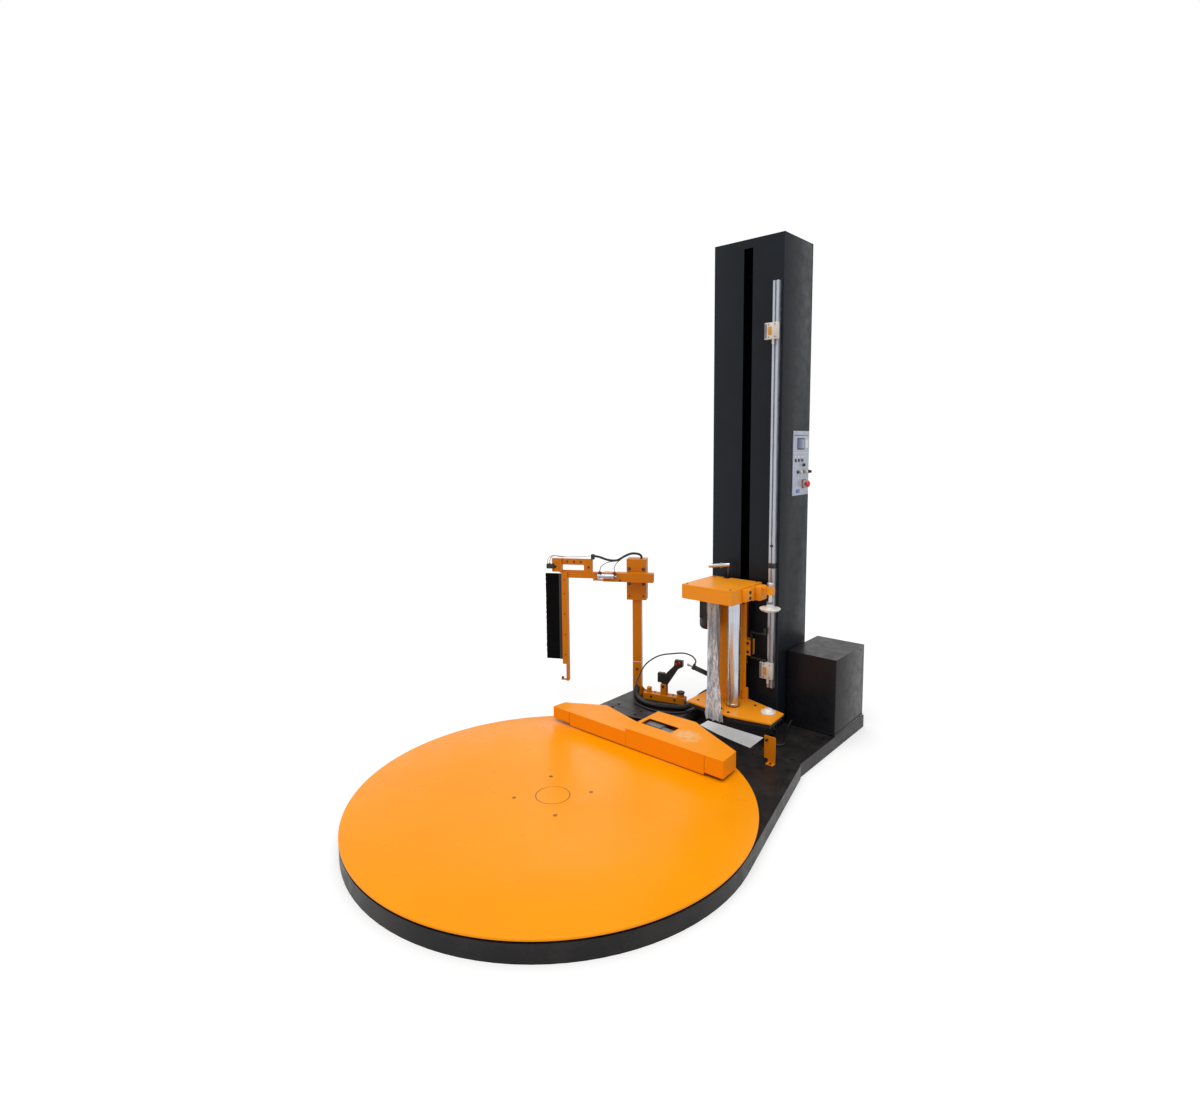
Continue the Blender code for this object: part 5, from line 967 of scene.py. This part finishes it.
piece("cylinder_body", bm, "swing_arm", anodised, ["wiper_actuator"])


def stub(bm, foot, length, radius, axis=(0, 0, 1), place=None):
    """A short round fitting with chamfered ends."""
    edge = radius * 0.14
    side = [(radius - edge, 0), (radius, edge), (radius, length - edge), (radius - edge, length)]
    turned(bm, [(0, 0), *side, (0, length)], foot, axis, place, 20)


bm = bmesh.new()
block(bm, (0.188, fitting_y - 0.010, 0.782), (0.208, fitting_y + 0.010, 0.794), ARM, 1.5 * MM)
block(bm, (0.104, fitting_y - 0.008, 0.783), (0.124, fitting_y + 0.008, 0.793), ARM, 1.5 * MM)
piece("air_fittings", bm, "swing_arm", black_nylon)
bm = bmesh.new()
stub(bm, (0.198, fitting_y, 0.793), 0.008, 0.0064, place=ARM)
stub(bm, (0.114, fitting_y, 0.792), 0.007, 0.0058, place=ARM)
piece("air_fitting_rings", bm, "swing_arm", red_plastic)

# ---------------------------------------------------------------- wiper
# The pivoting orange frame at the arm's end: a windowed plate, and a square bar with a hook at its foot.
# A dense black brush is clamped along the bar, and presses the film's end onto the load.
WIPER_T = 0.231
WIPER = ARM @ Matrix.Translation((WIPER_T, TUBE_Y, 0.0))
BAR_X = 0.410 - WIPER_T
# Darker orange, painted shade, as on the arm.
rounded_copy("wiper_frame", arm_paint_darkened_for_shade, 1.0 * MM)
bm = bmesh.new()
for x in (0.085, 0.125, 0.165):
    hex_bolt(bm, (x, 0.003, 0.843), (0, 1, 0), 0.0042, WIPER)
for x in (0.040, 0.235):
    hex_bolt(bm, (x, 0.003, 0.812), (0, 1, 0), 0.0048, WIPER)
for z in (0.300, 0.420, 0.540, 0.660, 0.740):
    cap_screw(bm, (BAR_X, 0.0175, z), (0, 1, 0), 0.0036, 0.003, WIPER)
piece("wiper_bolts", bm, "wiper", fastener_steel)
brush_edge = BAR_X + 0.0178
bm = bmesh.new()
block(bm, (brush_edge, -0.0078, 0.268), (brush_edge + 0.018, 0.0078, 0.772), WIPER, 1.0 * MM)
hook_end = [(0, 0), (0.0055, 0), (0.0072, 0.003), (0.0072, 0.009), (0.0050, 0.013), (0, 0.014)]
turned(bm, hook_end, (BAR_X + 0.023, 0, 0.1496), place=WIPER, steps=24)
piece("brush_holder", bm, "wiper", black_nylon)
bristle = moulded("brush_fibre", "black_plastic", srgb(9, 9, 10), 0.80, 0.4, 1300.0, Specular_IOR_Level=0.08)
TUFTS, BRUSH_FOOT, BRUSH_SPAN = 168, 0.270, 0.5010
bm = bmesh.new()
for layer in (-1, 1):
    for tuft in range(TUFTS):
        z = BRUSH_FOOT + BRUSH_SPAN * tuft / (TUFTS - 1)
        tip = brush_edge + 0.0995 - random.uniform(0.0, 0.0035)
        y = layer * 0.0030 + random.uniform(-0.0012, 0.0012)
        block(bm, (brush_edge + 4 * MM, y - 1.6 * MM, z - 1.6 * MM), (tip, y + 1.6 * MM, z + 1.3 * MM), WIPER)
piece("brush_fibres", bm, "wiper", bristle, ["brush_strip"])

# ---------------------------------------------------------------- film clamp
# An orange bar on the mast base with a knob, a rest and two ears, and a black lever on a pin between them.
# A square air cylinder on the mast pushes the lever over to hold the film's end.
CLAMP = Matrix.Translation((-0.300, 1.166, 0.0)) @ Matrix.Rotation(math.radians(15.5), 4, "Z")
LEVER = CLAMP @ Matrix.Translation((0, 0, 0.150))
# Darker orange, painted shade, as on the arm.
rounded_copy("clamp_base", arm_paint_darkened_for_shade, 1.4 * MM)
rounded_copy("clamp_lever", black_nylon, 1.4 * MM)
bm = bmesh.new()
for x in (-0.108, -0.060, 0.050):
    hex_bolt(bm, (x, 0.010, 0.100), radius=0.0048, place=CLAMP)
for x in (-0.070, 0.070):
    hex_bolt(bm, (x, -0.024, 0.085), (0, -1, 0), 0.0045, CLAMP)
hex_bolt(bm, (0.0, -0.019, 0.150), (0, -1, 0), 0.0055, CLAMP)
piece("clamp_bolts", bm, "machine", fastener_steel)
bm = bmesh.new()
pad = [(0, 0), (0.022, 0), (0.023, 0.001), (0.023, 0.006), (0.021, 0.008), (0.008, 0.009), (0, 0.009)]
turned(bm, pad, (0.098, 0, 0.1221), place=CLAMP)
piece("clamp_rest_pad", bm, "machine", tyre)
CYLINDER_FOOT = Vector((-0.0463, 1.270, 0.235))
ROD_END = Vector((-0.172, 1.206, 0.292))
cylinder_way = (ROD_END - CYLINDER_FOOT).normalized()
reach = (ROD_END - CYLINDER_FOOT).length
lean = Vector((0, 0.35, 0.94))
upright = (lean - cylinder_way * cylinder_way.dot(lean)).normalized()
barrel = Matrix((upright.cross(cylinder_way), upright, cylinder_way)).transposed().to_4x4()
barrel.translation = CYLINDER_FOOT
PORT = ROD_END - cylinder_way * 0.038
barrel_end = reach - 0.046
CYLINDER_BLOCKS = (
    (0.0145, -0.002, 0.016, 1.5), (0.0130, 0.016, barrel_end, 2.5),
    (0.0145, barrel_end, reach - 0.030, 1.5),
)
bm = bmesh.new()
for half, foot, top, edge in CYLINDER_BLOCKS:
    block(bm, (-half, -half, foot), (half, half, top), barrel, edge * MM)
block(bm, (-0.0323, 1.245, 0.205), (-0.0263, 1.295, 0.265), None, 1.0 * MM)
block(bm, (-0.0563, 1.264, 0.225), (-0.0303, 1.276, 0.245), None, 1.0 * MM)
stub(bm, PORT + upright * 0.010, 0.012, 0.0065, upright)
piece("clamp_cylinder_body", bm, "machine", black_nylon, ["clamp_cylinder"])
bm = bmesh.new()
stub(bm, (0, 0, reach - 0.034), 0.034, 0.0050, place=barrel)
turned(bm, [(0, 0), (0.0080, 0), (0.0080, 0.008), (0, 0.008)], (0, 0, reach - 0.012), place=barrel, steps=6)
for y in (1.252, 1.288):
    for z in (0.214, 0.256):
        hex_bolt(bm, (-0.0323, y, z), (-1, 0, 0), 0.0036)
piece("clamp_rod", bm, "machine", zinc)
bm = bmesh.new()
for x, z in ((0.096, 0.148), (0.078, 0.142)):
    stub(bm, (x, -0.0115, z), 0.009, 0.0062, (0, -1, 0), LEVER)
piece("lever_fittings", bm, "clamp_lever", red_plastic)
bm = bmesh.new()
stub(bm, (0, -0.0120, 0), 0.003, 0.010, (0, -1, 0), LEVER)
block(bm, (-0.0360, -0.011, 0.024), (-0.0338, 0.011, 0.072), LEVER, 0.6 * MM)
piece("lever_pad", bm, "clamp_lever", tyre)

# ---------------------------------------------------------------- sensor bracket
# A folded orange strip screwed to the deck beside the disc, with a small black sensor through its hole.
# Darker orange, painted shade, as on the arm.
rounded_copy("sensor_bracket", arm_paint_darkened_for_shade, 0.8 * MM)
low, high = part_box("sensor_bracket")
bm = bmesh.new()
stub(bm, (0.505, high.y - 0.012, 0.170), 0.034, 0.0062, (0, 1, 0))
hex_bolt(bm, (0.530, 0.8475, DECK + 3.5 * MM), radius=0.0048)
piece("bracket_sensor", bm, "machine", black_nylon)

# ---------------------------------------------------------------- hoses and cables
# Black hoses and leads between the machine's parts: a sleeved air hose from the arm to the mast,
# a thin air tube over the clamp, the drive's lead, the carriage's conduit, and the loom along the arm.
RESTING = DECK + 0.3 * MM


def smoothed(points, spacing):
    """Even points on a smooth line through the given ones. Its first and last lengths stay straight."""
    points = [Vector(point) for point in points]
    route = points[:2]
    for a, b, c, d in zip(points, points[1:], points[2:], points[3:]):
        steps = max(2, round((c - b).length / 0.012))
        for step in range(1, steps + 1):
            t = step / steps
            square, cube = 2 * a - 5 * b + 4 * c - d, 3 * b - a - 3 * c + d
            route.append(0.5 * (2 * b + (c - a) * t + square * t**2 + cube * t**3))
    route.append(points[-1])
    even, spare = [route[0]], 0.0
    for a, b in zip(route, route[1:]):
        gone, whole = spacing - spare, (b - a).length
        while gone < whole:
            even.append(a.lerp(b, gone / whole))
            gone += spacing
        spare = whole - (gone - spacing)
    if (even[-1] - route[-1]).length < spacing * 0.5:
        even.pop()
    return even + [route[-1]]


def swept(bm, line, radius, rib=0.0, sides=14):
    """Extrudes a ring along a line. A ribbed one narrows at every other point."""
    ring = bmesh.ops.create_circle(bm, cap_ends=True, segments=sides, radius=radius)["verts"]
    edges = list({edge for corner in ring for edge in corner.link_edges})
    place = Matrix.Translation(line[0]) @ along(line[1] - line[0])
    bmesh.ops.transform(bm, matrix=place, verts=ring)
    for number in range(1, len(line)):
        ahead = line[min(number + 1, len(line) - 1)] - line[number - 1]
        turn = place.to_quaternion()
        turn = (turn @ Vector((0, 0, 1))).rotation_difference(ahead.normalized()) @ turn
        following = Matrix.Translation(line[number]) @ turn.to_matrix().to_4x4()
        narrow = (radius - rib * (number % 2)) / (radius - rib * ((number - 1) % 2))
        grown = bmesh.ops.extrude_edge_only(bm, edges=edges)["geom"]
        ring = [part for part in grown if isinstance(part, bmesh.types.BMVert)]
        edges = [part for part in grown if isinstance(part, bmesh.types.BMEdge)]
        move = following @ Matrix.Diagonal((narrow, narrow, 1.0, 1.0)) @ place.inverted()
        bmesh.ops.transform(bm, matrix=move, verts=ring)
        place = following
    bmesh.ops.contextual_create(bm, geom=edges)


def cable(name, points, radius, finish, body, node, rib=0.0, place=None):
    """A cable that the machine holds at both ends, along its own route."""
    if place is not None:
        points = [place @ Vector(point) for point in points]
    line = smoothed(points, 2.4 * MM if rib else 5 * MM)
    bm = bmesh.new()
    swept(bm, line, radius, rib)
    made = piece(name, bm, body, finish, [node] if node else [])


hose_rubber = moulded("hose_rubber", "rubber", srgb(20, 20, 21), 0.5, 0.2, 500.0)
hose_z = RESTING + 0.015
cable(
    "air_hose_sleeve",
    [
        (-0.46785, 1.13109, 0.108), (-0.45535, 1.10944, 0.108), (-0.438, 1.086, 0.096),
        (-0.404, 1.066, hose_z + 0.003),
        (-0.355, 1.047, hose_z), (-0.300, 1.042, hose_z), (-0.235, 1.056, hose_z), (-0.175, 1.085, hose_z),
        (-0.128, 1.122, hose_z), (-0.100, 1.160, hose_z + 0.018), (-0.085, 1.200, hose_z + 0.050),
        (-0.076, 1.250, hose_z + 0.062), (-0.068, 1.292, hose_z + 0.066), (-0.048, 1.310, hose_z + 0.066),
        (-0.0263, 1.310, hose_z + 0.066),
    ],
    0.015, hose_rubber, "machine", "air_hose", 1.4 * MM,
)
wire_z = RESTING + 0.0044
wire_start = PORT + upright * 0.0223
cable(
    "clamp_air_tube",
    [
        wire_start, wire_start + upright * 0.012, (-0.158, 1.240, 0.330), (-0.205, 1.228, 0.342),
        (-0.2714, 1.2090, 0.3316), (-0.3545, 1.1857, 0.307), (-0.4245, 1.160, 0.2515),
        (-0.438, 1.118, 0.195),
        (-0.437, 1.082, 0.150), (-0.432, 1.054, 0.105), (-0.410, 1.034, wire_z + 0.006),
        (-0.370, 1.016, wire_z),
        (-0.300, 1.000, wire_z), (-0.230, 1.004, wire_z), (-0.170, 1.028, wire_z), (-0.125, 1.062, wire_z),
        (-0.098, 1.105, wire_z), (-0.092, 1.150, wire_z), (-0.090, 1.196, wire_z), (-0.078, 1.232, wire_z),
        (-0.048, 1.250, wire_z + 0.004), (-0.0263, 1.250, wire_z + 0.004),
    ],
    0.004, black_nylon, "machine", "clamp_wire",
)
lead_z = RESTING + 0.007
cable(
    "drive_motor_lead",
    [
        (-0.028, 0.7503, 0.112), (-0.028, 0.764, 0.112), (-0.048, 0.790, 0.110), (-0.080, 0.832, 0.094),
        (-0.116, 0.860, lead_z + 0.004), (-0.165, 0.868, lead_z), (-0.230, 0.858, lead_z),
        (-0.300, 0.838, lead_z),
        (-0.360, 0.815, lead_z), (-0.410, 0.786, lead_z), (-0.444, 0.750, lead_z + 0.006),
        (-0.4575, 0.714, lead_z + 0.024), (-0.4475, 0.6833, 0.112), (-0.44016, 0.67076, 0.112),
    ],
    0.007, hose_rubber, "machine", "drive_lead",
)
conduit_z = RESTING + 0.0061
cable(
    "carriage_conduit_sleeve",
    [
        (0.405, 1.3147, 0.090), (0.405, 1.297, 0.090), (0.412, 1.256, conduit_z + 0.006),
        (0.432, 1.200, conduit_z),
        (0.455, 1.145, conduit_z), (0.474, 1.100, conduit_z), (0.482, 1.068, conduit_z),
        (0.474, 1.044, conduit_z),
        (0.454, 1.038, conduit_z), (0.436, 1.054, conduit_z), (0.420, 1.092, conduit_z),
        (0.404, 1.136, conduit_z),
        (0.388, 1.176, conduit_z), (0.366, 1.196, conduit_z + 0.006), (0.350, 1.212, 0.086),
        (0.350, 1.2287, 0.086),
    ],
    0.0055, hose_rubber, "machine", "carriage_conduit", 0.7 * MM,
)
HEAD_TOP = 0.861
cable(
    "arm_loom_sleeve",
    [
        (-0.024, 0.0, HEAD_TOP + 0.3 * MM), (-0.024, 0.0, HEAD_TOP + 0.012),
        (-0.010, 0.008, HEAD_TOP + 0.026),
        (0.030, 0.020, HEAD_TOP + 0.030), (0.070, 0.030, HEAD_TOP + 0.014),
        (0.110, 0.038, HEAD_TOP - 0.008),
        (0.160, 0.045, HEAD_TOP - 0.006), (0.210, 0.055, HEAD_TOP + 0.012),
        (0.238, TUBE_Y, HEAD_TOP + 0.018),
    ],
    0.007, hose_rubber, "swing_arm", "arm_loom", 0.8 * MM, ARM,
)
grey_tube = moulded("grey_tube", "white_plastic", srgb(120, 122, 124), 0.35, 0.1, 700.0)
white_tube = moulded("white_tube", "white_plastic", srgb(214, 213, 208), 0.35, 0.1, 700.0)
bm = bmesh.new()
block(bm, (0.004, -0.011, HEAD_TOP - 2 * MM), (0.024, 0.011, HEAD_TOP + 0.028), WIPER, 3 * MM)
block(bm, (0.240, 0.002, HEAD_TOP - 0.060), (0.286, 0.015, HEAD_TOP - 0.032), WIPER, 2 * MM)
stub(bm, (0.267, 0.0077, HEAD_TOP - 0.034), 0.006, 0.0042, place=WIPER)
stub(bm, (0.278, 0.0107, HEAD_TOP - 0.034), 0.004, 0.0042, place=WIPER)
piece("loom_gland", bm, "wiper", black_nylon)
THIN_TUBES = {
    "loom_tube_grey": (0.0020, grey_tube, "wiper", [
        (0.250, TUBE_Y - 0.004, HEAD_TOP + 0.018), (0.262, 0.056, HEAD_TOP + 0.017),
        (0.300, 0.055, HEAD_TOP + 0.012),
        (0.350, 0.056, HEAD_TOP + 0.010), (0.430, 0.060, HEAD_TOP + 0.009),
        (0.470, 0.064, HEAD_TOP + 0.014),
        (0.488, 0.068, HEAD_TOP + 0.008), (0.497, 0.070, HEAD_TOP - 0.010),
        (0.498, 0.0700, HEAD_TOP - 0.029),
    ]),
    "loom_tube_white": (0.0022, white_tube, "wiper", [
        (0.250, TUBE_Y + 0.003, HEAD_TOP + 0.018), (0.264, 0.065, HEAD_TOP + 0.018),
        (0.310, 0.063, HEAD_TOP + 0.012),
        (0.380, 0.064, HEAD_TOP + 0.010), (0.440, 0.066, HEAD_TOP + 0.014),
        (0.480, 0.069, HEAD_TOP + 0.017),
        (0.502, 0.072, HEAD_TOP + 0.004), (0.509, 0.073, HEAD_TOP - 0.012),
        (0.509, 0.073, HEAD_TOP - 0.031),
    ]),
    "fitting_tube_a": (0.0020, black_nylon, "swing_arm", [
        (0.060, 0.032, HEAD_TOP + 0.016), (0.070, 0.040, HEAD_TOP + 0.012),
        (0.090, 0.052, HEAD_TOP - 0.004),
        (0.110, 0.075, 0.838), (0.116, 0.098, 0.816), (0.114, fitting_y, 0.799),
    ]),
    "fitting_tube_b": (0.0020, black_nylon, "swing_arm", [
        (0.080, 0.034, HEAD_TOP + 0.009), (0.092, 0.040, HEAD_TOP + 0.005),
        (0.120, 0.054, HEAD_TOP - 0.010),
        (0.160, 0.078, 0.846), (0.192, 0.098, 0.824), (0.198, fitting_y, 0.801),
    ]),
}
for name, (radius, finish, body, points) in THIN_TUBES.items():
    cable(name, points, radius, finish, body, None, place=ARM)

# ---------------------------------------------------------------- floor, light and camera
# A pale studio floor and soft light from above, with a dim tall panel behind that the disc reflects.
floor_look = Finish("floor_paint", "white_plastic", Roughness=0.9, Specular_IOR_Level=0.1)
floor_tone = floor_look.ramp(floor_look.noise(0.8, 3.0), (0.70, 0.70, 0.70), (0.72, 0.72, 0.72))
floor_look.feed("Base Color", floor_tone)
WORLD_LIGHT = 0.56
FLOOR_LIFT = 0.34


def seen_by(tree, rays):
    """1 where the camera, a mirror or glass looks, and 0 where light falls."""
    total = rays.outputs["Is Camera Ray"]
    for ray in ("Is Glossy Ray", "Is Transmission Ray"):
        node = tree.nodes.new("ShaderNodeMath")
        node.operation = "MAXIMUM"
        tree.links.new(total, node.inputs[0])
        tree.links.new(rays.outputs[ray], node.inputs[1])
        total = node.outputs[0]
    return total


floor_rays = floor_look.made("ShaderNodeLightPath")
floor_look.shader.inputs["Emission Color"].default_value = (1.0, 1.0, 1.0, 1.0)
floor_seen = seen_by(floor_look.tree, floor_rays)
floor_look.feed("Emission Strength", floor_look.span(floor_seen, 0.0, FLOOR_LIFT, 0.0, 1.0))
bm = bmesh.new()
bmesh.ops.create_grid(bm, x_segments=1, y_segments=1, size=40.0)
floor_mesh = bpy.data.meshes.new("floor")
bm.to_mesh(floor_mesh)
bm.free()
floor_mesh.materials.append(floor_look.material)
floor = bpy.data.objects.new("floor", floor_mesh)
bpy.context.scene.collection.objects.link(floor)

world = bpy.data.worlds.new("studio")
bpy.context.scene.world = world
world.use_nodes = True
background = world.node_tree.nodes["Background"]
background.inputs["Color"].default_value = (1.0, 1.0, 1.0, 1.0)
rays = world.node_tree.nodes.new("ShaderNodeLightPath")
level = world.node_tree.nodes.new("ShaderNodeMapRange")
level.inputs["To Min"].default_value = WORLD_LIGHT
level.inputs["To Max"].default_value = 1.0
seen = seen_by(world.node_tree, rays)
world.node_tree.links.new(seen, level.inputs["Value"])
world.node_tree.links.new(level.outputs["Result"], background.inputs["Strength"])


def lamp(name, kind, place, target, energy, size, length=0.0):
    """A light that looks at its target. A sun's size is its angle, and a panel's its width."""
    data = bpy.data.lights.new(name, kind)
    data.energy = energy
    if kind == "SUN":
        data.angle = math.radians(size)
    else:
        data.shape = "RECTANGLE"
        data.size, data.size_y = size, length
    light = bpy.data.objects.new(name, data)
    light.location = place
    light.rotation_euler = (Vector(target) - Vector(place)).to_track_quat("-Z", "Y").to_euler()
    bpy.context.scene.collection.objects.link(light)


lamp("daylight", "SUN", (1.0, -1.6, 6.0), (0.0, 0.5, 0.0), 1.35, 50.0)
lamp("softbox", "AREA", (0.4, 0.2, 4.6), (0.2, 0.6, 0.0), 30.0, 4.2, 3.4)
lamp("window", "AREA", (-3.2, 3.4, 2.2), (-0.3, -0.2, 0.1), 9.0, 0.9, 2.4)

camera = bpy.data.objects.new("camera", bpy.data.cameras.new("camera"))
bpy.context.scene.collection.objects.link(camera)
bpy.context.scene.camera = camera
camera.data.sensor_fit = "HORIZONTAL"
camera.data.sensor_width = 36.0
camera.data.lens = 20.52
camera.data.shift_y = -0.0358
camera.data.clip_end = 90.0
yaw, pitch, roll = math.radians(42.04), math.radians(-6.09), math.radians(-0.59)
ahead = Vector((-math.sin(yaw) * math.cos(pitch), math.cos(yaw) * math.cos(pitch), math.sin(pitch)))
level_right = Vector((math.cos(yaw), math.sin(yaw), 0.0))
level_up = level_right.cross(ahead)
camera_right = level_right * math.cos(roll) + level_up * math.sin(roll)
camera_up = level_up * math.cos(roll) - level_right * math.sin(roll)
pose = Matrix((camera_right, camera_up, -ahead)).transposed().to_4x4()
pose.translation = Vector((1.9422, -1.8474, 1.5103))
camera.matrix_world = pose
bpy.context.scene.view_settings.view_transform = "Standard"
